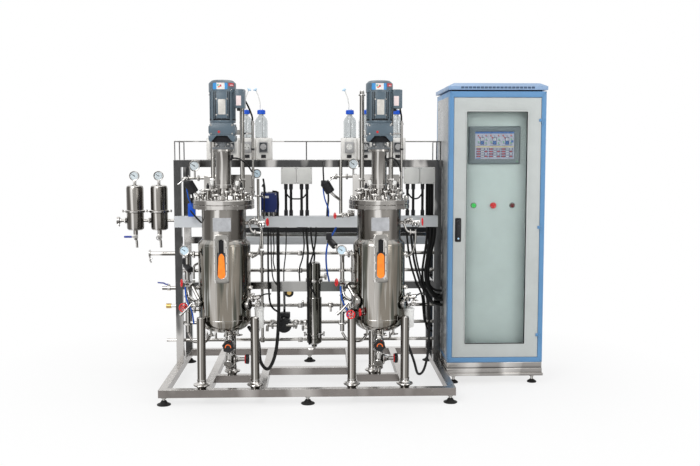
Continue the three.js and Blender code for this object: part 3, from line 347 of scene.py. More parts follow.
def from_datum(points, datum=SKID):
    """Points in millimetres from a datum, as places in metres."""
    return [datum + Vector(p) * MM for p in points]


def smooth_route(points, per_gap=5):
    """One smooth curve through the points, a few diameters at a time."""
    points = [Vector(p) for p in points]
    ends = [points[0] * 2 - points[1], *points, points[-1] * 2 - points[-2]]
    route = []
    for a, b, c, d in zip(ends, ends[1:], ends[2:], ends[3:]):
        for step in range(per_gap):
            t = step / per_gap
            route.append((b * 2 + (c - a) * t + (a * 2 - b * 5 + c * 4 - d) * t * t
                          + (b * 3 - a - c * 3 + d) * t ** 3) / 2)
    return [*route, points[-1]]


def hang(name, route, radius, paint="black_rubber", stands_for=None):
    """A free cord along a route in metres, from its way out back into the machine. Its radius is in millimetres."""
    line = bpy.data.curves.new(name, "CURVE")
    line.dimensions = "3D"
    line.bevel_depth = radius * MM
    line.bevel_resolution = 3
    line.resolution_u = 8
    line.use_fill_caps = True
    spline = line.splines.new("BEZIER")
    spline.bezier_points.add(len(route) - 1)
    for knot, point in zip(spline.bezier_points, route):
        knot.co = point
        knot.handle_left_type = knot.handle_right_type = "AUTO"
    line.materials.append(finish_named(paint))
    piece = placed(name, line)
    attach(piece, "frame")
    if stands_for:
        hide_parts(stands_for)


# --- finishes
class Net:
    """Short calls for wiring the nodes of one tree."""

    def __init__(self, tree):
        self.tree = tree

    def feed(self, inputs, values):
        """Links or sets each of the inputs that a value is given for."""
        for key, value in values.items():
            if isinstance(value, bpy.types.NodeSocket):
                self.tree.links.new(value, inputs[key])
            else:
                inputs[key].default_value = value

    def node(self, kind, values=None, **settings):
        made = self.tree.nodes.new("ShaderNode" + kind)
        for key, value in settings.items():
            setattr(made, key, value)
        self.feed(made.inputs, values or {})
        return made.outputs

    def place(self):
        return self.node("TexCoord")["Object"]

    def effect(self, name, **values):
        return self.node("Group", values, node_tree=shared_effect(name))

    def noise(self, vector, scale, detail=2.0, roughness=0.5):
        return self.node("TexNoise", {"Vector": vector, "Scale": scale, "Detail": detail, "Roughness": roughness})[0]

    def map_range(self, value, start, end, low=0.0, high=1.0):
        limits = {"Value": value, "From Min": start, "From Max": end, "To Min": low, "To Max": high}
        return self.node("MapRange", limits)["Result"]

    def math(self, operation, a, b=0.0):
        return self.node("Math", {0: a, 1: b}, operation=operation)[0]

    def times(self, a, b):
        return self.math("MULTIPLY", a, b)

    def split(self, vector):
        return self.node("SeparateXYZ", {0: vector})

    def mix(self, factor, a, b):
        return self.node("Mix", {0: factor, 6: a, 7: b}, data_type="RGBA")[2]


def edge_wear(net, start):
    """Where a bevel would turn the surface, the finish is rubbed bright."""
    bevel = net.node("Bevel", {"Radius": start["Radius"]}, samples=4)[0]
    plain = net.node("NewGeometry")["Normal"]
    facing = net.node("VectorMath", {0: bevel, 1: plain}, operation="DOT_PRODUCT")["Value"]
    turned = net.map_range(facing, 0.998, 0.86)
    patch = net.noise(start["Vector"], 90.0, 3.0)
    return {"Mask": net.times(turned, net.map_range(patch, 0.35, 0.62, 0.25, 1.0)), "Normal": bevel}


def directional_grain(net, start):
    """Fine scratches, drawn out along the axis that has the smallest stretch."""
    drawn = net.node("VectorMath", {0: start["Vector"], 1: start["Stretch"]}, operation="MULTIPLY")[0]
    fine = net.noise(drawn, start["Fineness"], 3.0, 0.65)
    return {"Height": fine, "Tone": net.map_range(fine, 0.3, 0.7)}


def handling_marks(net, start):
    """Cloudy patches left by hands, cloths and steam."""
    broad = net.noise(start["Vector"], start["Size"], 4.0, 0.6)
    return {"Mask": net.map_range(broad, 0.36, 0.66)}


def settled_dust(net, start):
    """Dust on whatever faces up; laid on strongly, as on the skid, it is a painted highlight on the top faces too."""
    normal = net.node("NewGeometry")["Normal"]
    upward = net.split(normal)["Z"]
    patch = net.map_range(net.noise(start["Vector"], 22.0, 3.0), 0.3, 0.7, 0.4, 1.0)
    return {"Mask": net.times(net.map_range(upward, 0.6, 1.0), patch)}


def painted_upright_bands(net, start):
    """Painted reflection: soft upright bands round a polished barrel, standing for its bright and dark surroundings,
    the bright ones as painted highlights.
    """
    parts = net.split(start["Vector"])
    angle = net.math("ARCTAN2", parts["Y"], parts["X"])
    line = net.node("CombineXYZ", {"X": angle, "Z": net.times(parts["Z"], 0.35)})[0]
    broad = net.noise(line, start["Count"], 2.0, 0.45)
    fine = net.noise(line, net.times(start["Count"], 3.1), 1.0)
    low = net.map_range(parts["Z"], 0.70, 0.84, 1.0, 0.3)
    front = net.map_range(net.math("ABSOLUTE", angle), 2.2, 1.9, 1.0, 0.25)
    dark = net.map_range(broad, 0.50, 0.58)
    bright = net.times(net.map_range(fine, 0.54, 0.62), net.times(low, front))
    return {"Dark": dark, "Bright": bright}


def polished_streaks(net, start):
    """Painted reflection and shade by the way a surface faces: dark to the sides and below, bright highlights near the
    middle and on top.
    """
    wave = net.noise(net.node("Mapping", {"Vector": start["Vector"], "Scale": (1, 1, 0.3)})[0], start["Size"], 1.0)
    facing = net.split(net.node("TexCoord")["Normal"])
    turn = net.math("ADD", facing["X"], net.map_range(wave, 0.3, 0.7, -0.16, 0.16))
    side = net.math("ABSOLUTE", turn)
    dark = net.times(net.map_range(side, 0.36, 0.52), net.map_range(side, 0.80, 0.95, 1, 0))
    under = net.times(net.map_range(facing["Z"], -0.05, -0.25), net.map_range(facing["Z"], -0.95, -0.7))
    bright = net.map_range(net.math("ABSOLUTE", net.math("ADD", turn, 0.2)), 0.17, 0.08)
    above = net.map_range(facing["Z"], 0.3, 0.6, 0, 0.8)
    return {"Dark": net.math("MAXIMUM", dark, under), "Bright": net.math("MAXIMUM", bright, above)}


EFFECTS = {  # what wires it, and its settings beside the place
    "Polished streaks": (polished_streaks, {"Size": 5.0}),
    "Edge wear": (edge_wear, {"Radius": 0.001}),
    "Directional grain": (directional_grain, {"Stretch": (1, 1, 1), "Fineness": 80.0}),
    "Handling marks": (handling_marks, {"Size": 6.0}),
    "Settled dust": (settled_dust, {}),
    "Painted upright bands": (painted_upright_bands, {"Count": 2.0}),
}


def shared_effect(name):
    """The node group of that name, built the first time a finish asks for it."""
    tree = bpy.data.node_groups.get(name)
    if tree is not None:
        return tree
    wire, settings = EFFECTS[name]
    tree = bpy.data.node_groups.new(name, "ShaderNodeTree")

    def socket(label, way, vector):
        kind = "NodeSocketVector" if vector else "NodeSocketFloat"
        return tree.interface.new_socket(label, in_out=way, socket_type=kind)

    for label, default in {"Vector": (0, 0, 0), **settings}.items():
        socket(label, "INPUT", isinstance(default, tuple)).default_value = default
    start, end = tree.nodes.new("NodeGroupInput"), tree.nodes.new("NodeGroupOutput")
    for label, result in wire(Net(tree), start.outputs).items():
        socket(label, "OUTPUT", result.type == "VECTOR")
        tree.links.new(result, end.inputs[label])
    return tree


def shade(colour, factor):
    return (*[min(1.0, c * factor) for c in colour[:3]], 1.0)


def new_finish(name):
    """A material, its wiring and its shader's inputs."""
    made = bpy.data.materials.new(name)
    made.use_nodes = True
    return made, Net(made.node_tree), made.node_tree.nodes["Principled BSDF"].inputs


def worked_surface(name, colour, rough, metal=0.0, tone=0.05, marks=0.06, size=7.0, stretch=(1, 1, 1), fineness=120.0,
                   bump=0.12, wear=0.0, worn=(0.75, 0.74, 0.72), radius=0.0012, dust=0.1, coat=0.0, gloss=0.5,
                   bands=None, streaks=0.0):
    """A solid finish with grain, marks, dust and rubbed edges of its own strength, and painted reflection bands and
    streaks where asked; strong dust is a painted top highlight as well.
    """
    made, net, shader = new_finish(name)
    net.feed(shader, {"Metallic": metal, "Coat Weight": coat, "Specular IOR Level": gloss})
    place = net.place()

    def lay(base, mask, strength, over):
        return net.mix(net.times(mask, strength), base, (*over, 1))

    grain = net.effect("Directional grain", Vector=place, Stretch=stretch, Fineness=fineness)
    cloud = net.effect("Handling marks", Vector=place, Size=size)["Mask"]
    base = net.mix(cloud, shade(colour, 1 - tone), shade(colour, 1 + tone))
    base = net.mix(net.map_range(grain["Tone"], 0, 1, 0, tone * 3), base, shade(colour, 0.72))
    # Painted reflection: dark bands and bright painted highlights round the barrel's axis, laid into the base colour.
    if bands:
        middle = net.node("Mapping", {"Vector": place, "Location": tuple(-c for c in bands["centre"])})[0]
        band = net.effect("Painted upright bands", Vector=middle, Count=bands["count"])
        base = lay(base, band["Dark"], bands["dark"], bands["dark_colour"])
        base = lay(base, band["Bright"], bands["bright"], bands["bright_colour"])
    # Painted reflection and shade: near-black where the surface faces aside or down, near-white highlights in the
    # middle and on top.
    if streaks > 0:
        streak = net.effect("Polished streaks", Vector=place, Size=size)
        base = lay(base, streak["Dark"], streaks, (0.036, 0.031, 0.026))
        base = lay(base, streak["Bright"], streaks, (0.92, 0.895, 0.865))
    relief = {"Strength": bump, "Distance": 0.0004, "Height": grain["Height"]}
    if wear > 0:
        edge = net.effect("Edge wear", Vector=place, Radius=radius)
        base = lay(base, edge["Mask"], wear, worn)
        relief["Normal"] = edge["Normal"]
    # Pale dust on upward faces; strong, as on the skid, it is also a painted highlight on top faces.
    if dust > 0:
        base = lay(base, net.effect("Settled dust", Vector=place)["Mask"], dust, (0.62, 0.60, 0.57))
    rough = net.map_range(cloud, 0, 1, max(0.02, rough - marks), rough + marks)
    net.feed(shader, {"Base Color": base, "Roughness": rough, "Normal": net.node("Bump", relief)[0]})
    return made


def clear_glass(name, tint, rough=0.03, ior=1.45, smears=0.05):
    """Clear glass with faint smears that only change its gloss."""
    made, net, shader = new_finish(name)
    net.feed(shader, {"Base Color": (*tint, 1), "Transmission Weight": 1.0, "IOR": ior})
    cloud = net.effect("Handling marks", Vector=net.place(), Size=9.0)["Mask"]
    net.feed(shader, {"Roughness": net.map_range(cloud, 0, 1, rough, rough + smears)})
    return made


def lit_surface(name, colour, strength, rough=0.25):
    """A lamp, a lit screen, or a pane or plug painted to glow though no lamp is in it, a little uneven across its face.
    """
    made, net, shader = new_finish(name)
    net.feed(shader, {"Roughness": rough, "Emission Strength": strength})
    cloud = net.effect("Handling marks", Vector=net.place(), Size=40.0)["Mask"]
    glow = net.mix(cloud, shade(colour, 0.82), shade(colour, 1.08))
    net.feed(shader, {"Base Color": net.mix(cloud, shade(colour, 0.15), shade(colour, 0.2)), "Emission Color": glow})
    return made


STEEL = {"metal": 1, "marks": 0.06, "wear": 0, "dust": 0.06}
PLASTIC = {"tone": 0.04, "marks": 0.07, "fineness": 420, "bump": 0.1, "wear": 0.35, "radius": 0.0008}
BLACK = {**PLASTIC, "wear": 0.2, "worn": (0.14, 0.14, 0.14), "gloss": 0.22, "dust": 0.04}
PAINT = {"tone": 0.04, "marks": 0.08, "fineness": 260, "bump": 0.08, "wear": 0.5, "radius": 0.001}


# Painted reflection bands for a jacket: dark greenish bands and near-white painted highlights.
def jacket_bands(side):
    return {"centre": tuple(vessel_axis(side)), "count": 3.4, "dark": 0.7, "dark_colour": (0.035, 0.052, 0.042),
            "bright": 0.75, "bright_colour": (0.93, 0.93, 0.91)}


def solid(kind, *look, **more):
    """A worked surface: what its kind has in common, its colour and roughness, and what is its own."""
    return lambda name: worked_surface(name, *look, **{**kind, **more})


def glass(*look, **more):
    return lambda name: clear_glass(name, *look, **more)


def lit(*look):
    return lambda name: lit_surface(name, *look)


PRINT = {"marks": 0.05, "dust": 0}
DIAL = {"coat": 0.5, "marks": 0.03, "size": 40, "dust": 0}
FINISHES = {
    # The jackets' bands and the steels' streaks below are painted reflection, highlight and shade.
    "jacket_left": solid(STEEL, (0.24, 0.215, 0.18), 0.12, marks=0.04, streaks=0.35, bands=jacket_bands("left")),
    "jacket_right": solid(STEEL, (0.24, 0.215, 0.18), 0.12, marks=0.04, streaks=0.35, bands=jacket_bands("right")),
    "shell_steel": solid(STEEL, (0.27, 0.255, 0.235), 0.2, streaks=0.75, size=5, stretch=(1, 1, 0.02),
        fineness=900, bump=0.15),
    "bright_steel": solid(STEEL, (0.42, 0.41, 0.395), 0.14, streaks=0.7, size=14),
    "dome_steel": solid(STEEL, (0.36, 0.35, 0.33), 0.1, marks=0.03, tone=0.4, size=22),
    # Painted shade: the dark plate on the motor's front.
    "motor_shade": solid({}, (0.022, 0.032, 0.04), 0.45, marks=0.08, bump=0.08),
    "column_steel": solid(STEEL, (0.37, 0.355, 0.335), 0.16, streaks=0.6, size=11),
    "tray_steel": solid(STEEL, (0.15, 0.155, 0.15), 0.22, streaks=0.3, size=4),
    "flange_steel": solid(STEEL, (0.26, 0.25, 0.235), 0.2, streaks=0.65, size=9),
    "pipe_steel": solid(STEEL, (0.33, 0.32, 0.3), 0.14, streaks=0.75, size=9),
    "frame_steel": solid({}, (0.1, 0.1, 0.1), 0.16, metal=1, wear=0.5, radius=0.0025, size=9, dust=0.08,
        tone=0.6, streaks=0.55, stretch=(1, 1, 0.03), fineness=700),
    # Its strong pale layer on top is a painted highlight on the top faces as well as dust.
    "skid_steel": solid({}, (0.26, 0.238, 0.225), 0.26, metal=1, wear=0.6, radius=0.003, size=3.5, dust=0.55,
        tone=0.2, streaks=0.35, stretch=(0.03, 1, 1), fineness=700, bump=0.2),
    "leg_steel": solid(STEEL, (0.24, 0.225, 0.205), 0.22, streaks=0.75, size=4, stretch=(1, 1, 0.04),
        fineness=800, bump=0.15),
    "bracket_steel": solid(STEEL, (0.3, 0.29, 0.275), 0.12, streaks=0.5, size=4),
    "label_plate": solid({}, (0.44, 0.45, 0.47), 0.38, metal=0.5, tone=0.1, size=40, stretch=(0.05, 1, 1),
        fineness=900, wear=0.3),
    "label_silver": solid({}, (0.6, 0.58, 0.54), 0.4, metal=0.1, tone=0.1, size=40),
    "rim_steel": solid(STEEL, (0.36, 0.345, 0.325), 0.2, streaks=0.6, size=14),
    "label_white": solid({}, (0.78, 0.77, 0.75), 0.45, marks=0.05, size=25),
    "label_pink": solid({}, (0.8, 0.66, 0.66), 0.45, marks=0.05, size=25),
    "motor_paint": solid(PAINT, (0.082, 0.12, 0.152), 0.36),
    "flange_grey": solid(PAINT, (0.11, 0.12, 0.13), 0.45),
    "duct_grey": solid(PAINT, (0.66, 0.685, 0.705), 0.42),
    "housing_grey": solid(PLASTIC, (0.72, 0.72, 0.69), 0.45),
    "pump_white": solid(PLASTIC, (0.84, 0.825, 0.79), 0.38),
    "pump_grey": solid(PLASTIC, (0.4, 0.4, 0.4), 0.42),
    "black_plastic": solid(BLACK, (0.018, 0.018, 0.02), 0.38),
    "black_rubber": solid(BLACK, (0.01, 0.01, 0.01), 0.55),
    # Painted shade for slots, hollows and the strip under the upper duct.
    "dark_recess": solid({}, (0.03, 0.031, 0.033), 0.6, marks=0.1, size=20, gloss=0.2),
    "window_dark": solid({}, (0.045, 0.05, 0.055), 0.12, marks=0.05, size=20),
    "red_plastic": solid(PLASTIC, (0.74, 0.014, 0.018), 0.33, worn=(0.85, 0.35, 0.33), gloss=0.3),
    "orange_plastic": solid(PLASTIC, (0.86, 0.16, 0.02), 0.35, worn=(0.9, 0.45, 0.3)),
    "dark_red": solid(PLASTIC, (0.16, 0.008, 0.012), 0.2, wear=0.1),
    "blue_plastic": solid(PLASTIC, (0.012, 0.04, 0.33), 0.35, worn=(0.3, 0.4, 0.7)),
    "cap_blue": solid(PLASTIC, (0.003, 0.09, 0.62), 0.35, worn=(0.3, 0.45, 0.85), gloss=0.25),
    "tube_blue": solid(PLASTIC, (0.01, 0.1, 0.52), 0.3, worn=(0.3, 0.45, 0.75), gloss=0.25),
    "pale_blue": solid(PLASTIC, (0.46, 0.66, 0.84), 0.35),
    "silicone": solid(PLASTIC, (0.72, 0.72, 0.7), 0.3, wear=0),
    "filter_white": solid(PLASTIC, (0.8, 0.8, 0.78), 0.4),
    "box_navy": solid(PAINT, (0.006, 0.018, 0.11), 0.35, gloss=0.25),
    "solenoid_black": solid(BLACK, (0.014, 0.014, 0.016), 0.34),
    "exchanger_green": solid(STEEL, (0.12, 0.12, 0.105), 0.14, streaks=0.6, size=8),
    "cabinet_blue": solid(PAINT, (0.105, 0.265, 0.49), 0.42, radius=0.003, worn=(0.45, 0.6, 0.8)),
    "cabinet_white": solid(PAINT, (0.5, 0.53, 0.52), 0.42, radius=0.003),
    "cabinet_side": solid(PAINT, (0.3, 0.31, 0.31), 0.3, radius=0.003),
    "plinth_steel": solid(STEEL, (0.33, 0.315, 0.3), 0.2, streaks=0.5, size=4, stretch=(0.03, 1, 1),
        fineness=700),
    "roof_slot": solid({}, (0.05, 0.09, 0.17), 0.6, marks=0.1),
    "roof_blue": solid(PAINT, (0.24, 0.37, 0.57), 0.4, radius=0.003),
    "panel_paint": solid(PAINT, (0.56, 0.62, 0.615), 0.42),
    "vent_black": solid({}, (0.01, 0.01, 0.012), 0.7, marks=0.1, gloss=0.2),
    "screen_rim": solid(PLASTIC, (0.17, 0.2, 0.22), 0.5),
    "dial_white": solid(DIAL, (0.68, 0.76, 0.8), 0.25),
    "dial_blue": solid(DIAL, (0.6, 0.77, 0.88), 0.25),
    "print_black": solid(PRINT, (0.02, 0.02, 0.02), 0.5),
    "print_blue": solid(PRINT, (0.04, 0.27, 0.62), 0.45),
    "print_green": solid(PRINT, (0.1, 0.42, 0.3), 0.45),
    "brass": solid({}, (0.55, 0.38, 0.14), 0.25, metal=1),
    "print_red": solid(PRINT, (0.55, 0.05, 0.06), 0.45),
    "door_glass": glass((0.9, 0.94, 0.925), 0.02, ior=1.18),
    "bottle_glass": glass((0.73, 0.75, 0.755), 0.02),
    "screen_back": lit((0.58, 0.6, 0.74), 0.5),
    "screen_dark": lit((0.12, 0.15, 0.3), 0.35),
    "screen_pale": lit((0.8, 0.82, 0.88), 0.55),
    "screen_blue": lit((0.08, 0.22, 0.6), 0.45),
    "screen_green": lit((0.15, 0.6, 0.25), 0.45),
    "screen_red": lit((0.7, 0.12, 0.1), 0.45),
    "screen_yellow": lit((0.85, 0.7, 0.2), 0.45),
    "lamp_green": lit((0.05, 0.75, 0.12), 0.6),
    # Painted glow of the broth in the sight glass, which no lamp lights.
    "warm_glow": lit((1, 0.24, 0.01), 1, 0.15),
    # Painted glow: the gearbox's red dot is no lamp.
    "red_dot": lit((0.9, 0.02, 0.02), 0.5),
}

SLOTS = {paint: slot for slot, paints in {
    "skid_steel": "skid_steel leg_steel",
    "motor_paint": "motor_paint flange_grey",
    "duct_grey": "duct_grey",
    "housing_grey": "housing_grey pump_white pump_grey",
    "black_plastic": "black_plastic dark_recess window_dark solenoid_black vent_black",
    "black_rubber": "black_rubber",
    "red_plastic": "red_plastic orange_plastic dark_red red_dot",
    "blue_plastic": "blue_plastic cap_blue tube_blue pale_blue box_navy",
    "cabinet_blue": "cabinet_blue",
    "cabinet_white": "cabinet_white cabinet_side",
    "door_glass": "door_glass",
    "bottle_glass": "bottle_glass silicone",
    "panel_paint": "panel_paint screen_rim",
}.items() for paint in paints.split()}


def finish_named(name):
    made = bpy.data.materials.get("finish_" + name)
    return made or FINISHES[name]("finish_" + name)


# --- settings
def measure(name, description, default, **more):
    return bpy.props.FloatProperty(name=name, description=description, default=default, **more)


def count(name, description, default, least):
    return bpy.props.IntProperty(name=name, description=description, default=default, min=least)


class StageSettings(bpy.types.PropertyGroup):
    camera_place: bpy.props.FloatVectorProperty(name="Camera place", description="Where the camera stands",
                                                default=(-0.0583, -5.9778, 1.5125), subtype="TRANSLATION",
                                                unit="LENGTH")
    tilt: measure("Tilt", "How far the camera looks down", math.radians(4.972), subtype="ANGLE", unit="ROTATION")
    turn: measure("Turn", "How far the camera looks to the right", math.radians(1.957), subtype="ANGLE",
                  unit="ROTATION")
    lens: measure("Lens", "Focal length", 46.65, unit="CAMERA")
    surround: measure("Surround light", "Strength of the even light from all round", 0.62, min=0)
    key_power: measure("Key lamp", "Power of the large lamp in front", 130.0, min=0, unit="POWER")


class VesselSettings(bpy.types.PropertyGroup):
    shell: measure("Shell radius", "Outside of the upper shell, in mm", 134.0)
    jacket: measure("Jacket radius", "Outside of the jacket, in mm", 159.0)
    bore: measure("Bore radius", "Inside of the vessel, in mm", 130.0)
    flange: measure("Flange radius", "Outside of the two flanges, in mm", 185.0)
    jacket_foot: measure("Jacket foot", "Height where the jacket turns into its dish, in mm", 510.0)
    shoulder: measure("Shoulder", "Height of the top of the straight jacket, in mm", 967.0)
    lid_bolts: count("Lid bolts", "Swing bolts round the lid", 16, 4)


class DriveSettings(bpy.types.PropertyGroup):
    fins: count("Cooling fins", "Fins round the motor", 32, 8)
    body: measure("Motor radius", "Outside of the motor between its fins, in mm", 72.0)
    cowl: measure("Cowl radius", "Outside of the fan cowl, in mm", 82.0)


class BottleSettings(bpy.types.PropertyGroup):
    wall: measure("Glass wall", "Thickness of a bottle's glass, in mm", 2.4, min=1)
    cap: measure("Cap radius", "Outside of the screw cap, in mm", 26.5)


class CabinetSettings(bpy.types.PropertyGroup):
    rim: measure("Edge radius", "How round the folded sheet edges are, in mm", 3.0)
    vents: count("Roof vents", "Slots along the roof's front", 19, 1)


# --- stage
LAMP_TARGET = Vector((0, 0, 0.9))


class BIOREACTOR_OT_stage(bpy.types.Operator):
    """Sets the camera, the lights and the pale floor"""
    bl_idname = "bioreactor.stage"
    bl_label = "Stage"

    def execute(self, context):
        scene = context.scene
        settings = scene.bioreactor_stage
        lens = bpy.data.cameras.new("camera")
        lens.lens, lens.sensor_width = settings.lens, 36.0
        camera = placed("camera", lens)
        look = Matrix.Rotation(-settings.turn, 4, "Z") @ Matrix.Rotation(math.pi / 2 - settings.tilt, 4, "X")
        camera.matrix_world = Matrix.Translation(Vector(settings.camera_place)) @ look
        scene.camera = camera
        scene.view_settings.view_transform = "Standard"
        light_world(scene, settings.surround)
        lamp("key_lamp", (-2.6, -4.6, 4.2), 3.2, settings.key_power)
        lamp("fill_lamp", (3.4, -4.2, 2.6), 2.6, settings.key_power * 0.4)
        lamp("top_lamp", (0.0, 0.6, 4.6), 3.0, settings.key_power * 0.35)
        floor()
        return {"FINISHED"}


def lamp(name, place, size, power):
    light = bpy.data.lights.new(name, "AREA")
    light.shape, light.size, light.energy = "DISK", size, power
    aim = (LAMP_TARGET - Vector(place)).to_track_quat("-Z", "Y").to_matrix().to_4x4()
    placed(name, light).matrix_world = Matrix.Translation(place) @ aim


def seen_ray(net):
    """One for a ray that the camera sees, straight on or by way of metal or glass."""
    rays = net.node("LightPath")
    bent = net.math("MAXIMUM", rays["Is Glossy Ray"], rays["Is Transmission Ray"])
    return net.math("MAXIMUM", rays["Is Camera Ray"], bent)


def light_world(scene, surround):
    """An even surround, which the camera, metal and glass see as plain white."""
    world = bpy.data.worlds.new("surround")
    scene.world = world
    world.use_nodes = True
    net = Net(world.node_tree)
    strength = net.map_range(seen_ray(net), 0, 1, surround)
    net.feed(world.node_tree.nodes["Background"].inputs, {"Strength": strength, "Color": (1, 1, 1, 1)})


def floor():
    """A pale floor that keeps the shadow and fades into the white surround."""
    part = bmesh.new()
    bmesh.ops.create_grid(part, x_segments=2, y_segments=2, size=14)
    mesh = bpy.data.meshes.new("floor")
    part.to_mesh(mesh)
    part.free()
    made, net, shader = new_finish("finish_floor")
    net.feed(shader, {"Base Color": (0.93, 0.93, 0.93, 1), "Roughness": 0.85, "Specular IOR Level": 0.1})
    plain = net.node("Emission", {"Color": (1, 1, 1, 1), "Strength": 1.0})
    far = net.node("VectorMath", {0: net.place()}, operation="LENGTH")["Value"]
    fade = net.times(net.map_range(far, 0.9, 2.6, 0.7, 1.0), seen_ray(net))
    both = net.node("MixShader", {0: fade, 1: made.node_tree.nodes["Principled BSDF"].outputs[0], 2: plain[0]})
    net.feed(made.node_tree.nodes["Material Output"].inputs, {"Surface": both[0]})
    mesh.materials.append(made)
    return placed("floor", mesh)


# --- carried-over pieces
class BIOREACTOR_OT_carried(bpy.types.Operator):
    """Gives the straight steelwork, ducts and agitators that come from the CAD their finishes"""
    bl_idname = "bioreactor.carried"
    bl_label = "Steelwork and ducts"

    def execute(self, context):
        for node, name in {"skid_frame": "skid_steel", "rear_frame": "frame_steel", "cable_duct_upper": "duct_grey",
                           "cable_duct_lower": "tray_steel", "agitator_left": "bright_steel",
                           "agitator_right": "bright_steel"}.items():
            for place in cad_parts[node].material_slots:
                place.material = finish_named(name)
        return {"FINISHED"}


# --- cords
# The sensor cables' heights count from their column's foot, all others from the floor.
MOTOR_CABLE = [(122, 46.3, 1845), (122, 50.3, 1845), (122, 54.3, 1845), (122, 62.3, 1845), (122, 72, 1844.5),
               (124, 96, 1842), (128, 122, 1836), (133, 150, 1826), (139, 180, 1811), (146, 208, 1792),
               (152, 232, 1772), (158, 258, 1750), (159.5, 266, 1736), (159.5, 266, 1729), (159.5, 266, 1722.3)]
SENSOR_CABLE = [(51, -27, 175), (66, -22, 182), (92, 24, 178), (118, 92, 158), (140, 170, 128), (150, 232, 104),
                (155, 254, 94)]
CABINET_HOSE = [(846, 705, 1024.7), (846, 705, 1017), (846, 705, 1010), (846, 705, 990), (840, 704, 935),
                (828, 704, 880), (815, 704, 825), (806, 704, 770), (802, 704, 715), (805, 704, 660), (816, 704, 612),
                (838, 704, 572), (868, 705, 546), (889, 705, 540), (895, 705, 540), (899.7, 705, 540)]


class BIOREACTOR_OT_cords(bpy.types.Operator):
    """Hangs the motor and sensor cables and the cabinet's cable hose"""
    bl_idname = "bioreactor.cords"
    bl_label = "Cords"

    def execute(self, context):
        for side in SIDES:
            route = from_datum(MOTOR_CABLE, vessel_axis(side))
            hang(f"{side}_motor_cable", route, 5.8, stands_for=f"motor_cable_{side}")
        for side in SIDES:
            foot = UP * box_mm(f"drive_column_{side}")[0].z
            points = smooth_route([foot + Vector(p) for p in SENSOR_CABLE])
            hang(f"{side}_sensor_cable", from_datum(points, vessel_axis(side)), 5)
        hang("cabinet_cable_hose", from_datum(CABINET_HOSE), 17, stands_for="cabinet_hose")
        return {"FINISHED"}


# --- vessels
FLANGE_TOP = box_mm("vessel_left")[1].z
LID_TOP = FLANGE_TOP + 30
DECK = box_mm("skid_frame")[1].z
LEGS = {"left": ((-131, -135), (191, -135), (20, 216)), "right": ((-172, -135), (150, -135), (-24, 216))}


class BIOREACTOR_OT_vessels(bpy.types.Operator):
    """Builds the two jacketed vessels with their legs, side ports and sight glasses"""
    bl_idname = "bioreactor.vessels"
    bl_label = "Vessels"

    def execute(self, context):
        for side in SIDES:
            build_vessel(side, context.scene.bioreactor_vessel)
            build_sight_glass(side, context.scene.bioreactor_vessel)
        return {"FINISHED"}


def build_vessel(side, sizes):
    shape = Shape(vessel_axis(side))
    top, neck, shell, bore, flange = FLANGE_TOP, sizes.shoulder + 30, sizes.shell, sizes.bore, sizes.flange
    jacket(shape, side, sizes)
    shape.turned([(bore, neck), (shell, neck), (shell, top - 27), (shell + 3, top - 25), (shell + 8, top - 25),
                  (shell + 8, top - 20), (bore, top - 20)], "shell_steel", steps=96, ring=True)
    shape.turned([(bore, top - 24), (flange - 1.5, top - 24), (flange, top - 22.5), (flange, top - 1.5),
                  (flange - 1.5, top), (bore, top)], "rim_steel", steps=96, ring=True)
    shape.turned([(shell + 0.3, 1052), (shell + 2, 1052), (shell + 2, 1133), (shell + 0.3, 1133)], "label_plate",
                 steps=14, ring=True, sweep=47)
    for turn, height in itertools.product((-21.5, 21.5), (1058, 1127)):
        shape.rod(polar(shell + 1, turn, height), polar(shell + 3.4, turn, height), 2.6, steps=12)
    for spot in LEGS[side]:
        leg(shape, spot, sizes)
    side_ports(shape, side, sizes.jacket - 6)
    shape.finish(f"{side}_vessel", f"vessel_{side}")


def jacket(shape, side, sizes):
    r, foot, shoulder, neck = sizes.jacket, sizes.jacket_foot, sizes.shoulder, sizes.shell + 6
    turns = [math.pi / 20 * i for i in range(11)]
    dish = [(40 + math.sin(t) * (r - 40), foot - math.cos(t) * 86) for t in turns]
    bowl = [(math.sin(t) * sizes.bore, foot - math.cos(t) * 70) for t in reversed(turns)]
    profile = [*dish, (r, foot + 10), (r, shoulder - 6), (r - 2, shoulder + 3), (r - 7, shoulder + 12),
               (neck, shoulder + 25), (sizes.shell, shoulder + 31), (sizes.bore, shoulder + 31), *bowl]
    shape.turned(profile, f"jacket_{side}", steps=112)
    for height, radius, thick in ((foot + 2, r - 0.6, 2.2), (shoulder - 5, r - 1, 1.8), (shoulder + 31, neck - 5, 2)):
        shape.tube_ring(UP * height, UP, radius, thick, "flange_steel", 96, 8)


def leg(shape, spot, sizes):
    x, y = spot
    top, foot, rim = sizes.jacket_foot + 28, sizes.jacket_foot, sizes.jacket
    shape.turned([(25, DECK), (28, DECK + 6), (34, DECK + 14), (49, DECK + 22), (50.8, DECK + 26), (49, DECK + 30),
                  (36, DECK + 34), (28, DECK + 42), (26, DECK + 50), (26, top - 14), (25, top - 6), (20, top - 1.5),
                  (12, top)], "leg_steel", (x, y, 0), steps=36)
    shape.turned([(26, DECK + 51), (28.5, DECK + 52), (28.5, DECK + 60), (26, DECK + 61)], "bright_steel", (x, y, 0),
                 steps=32, ring=True)
    turn = Matrix.Rotation(math.atan2(y, x), 4, "Z")
    shape.block((rim - 8, math.hypot(x, y)), (-7, 7), (foot, top - 12), "leg_steel", 2.5, turn)
    shape.block((rim - 6, rim + 4), (-22, 22), (foot - 6, top - 4), "leg_steel", 3, turn)


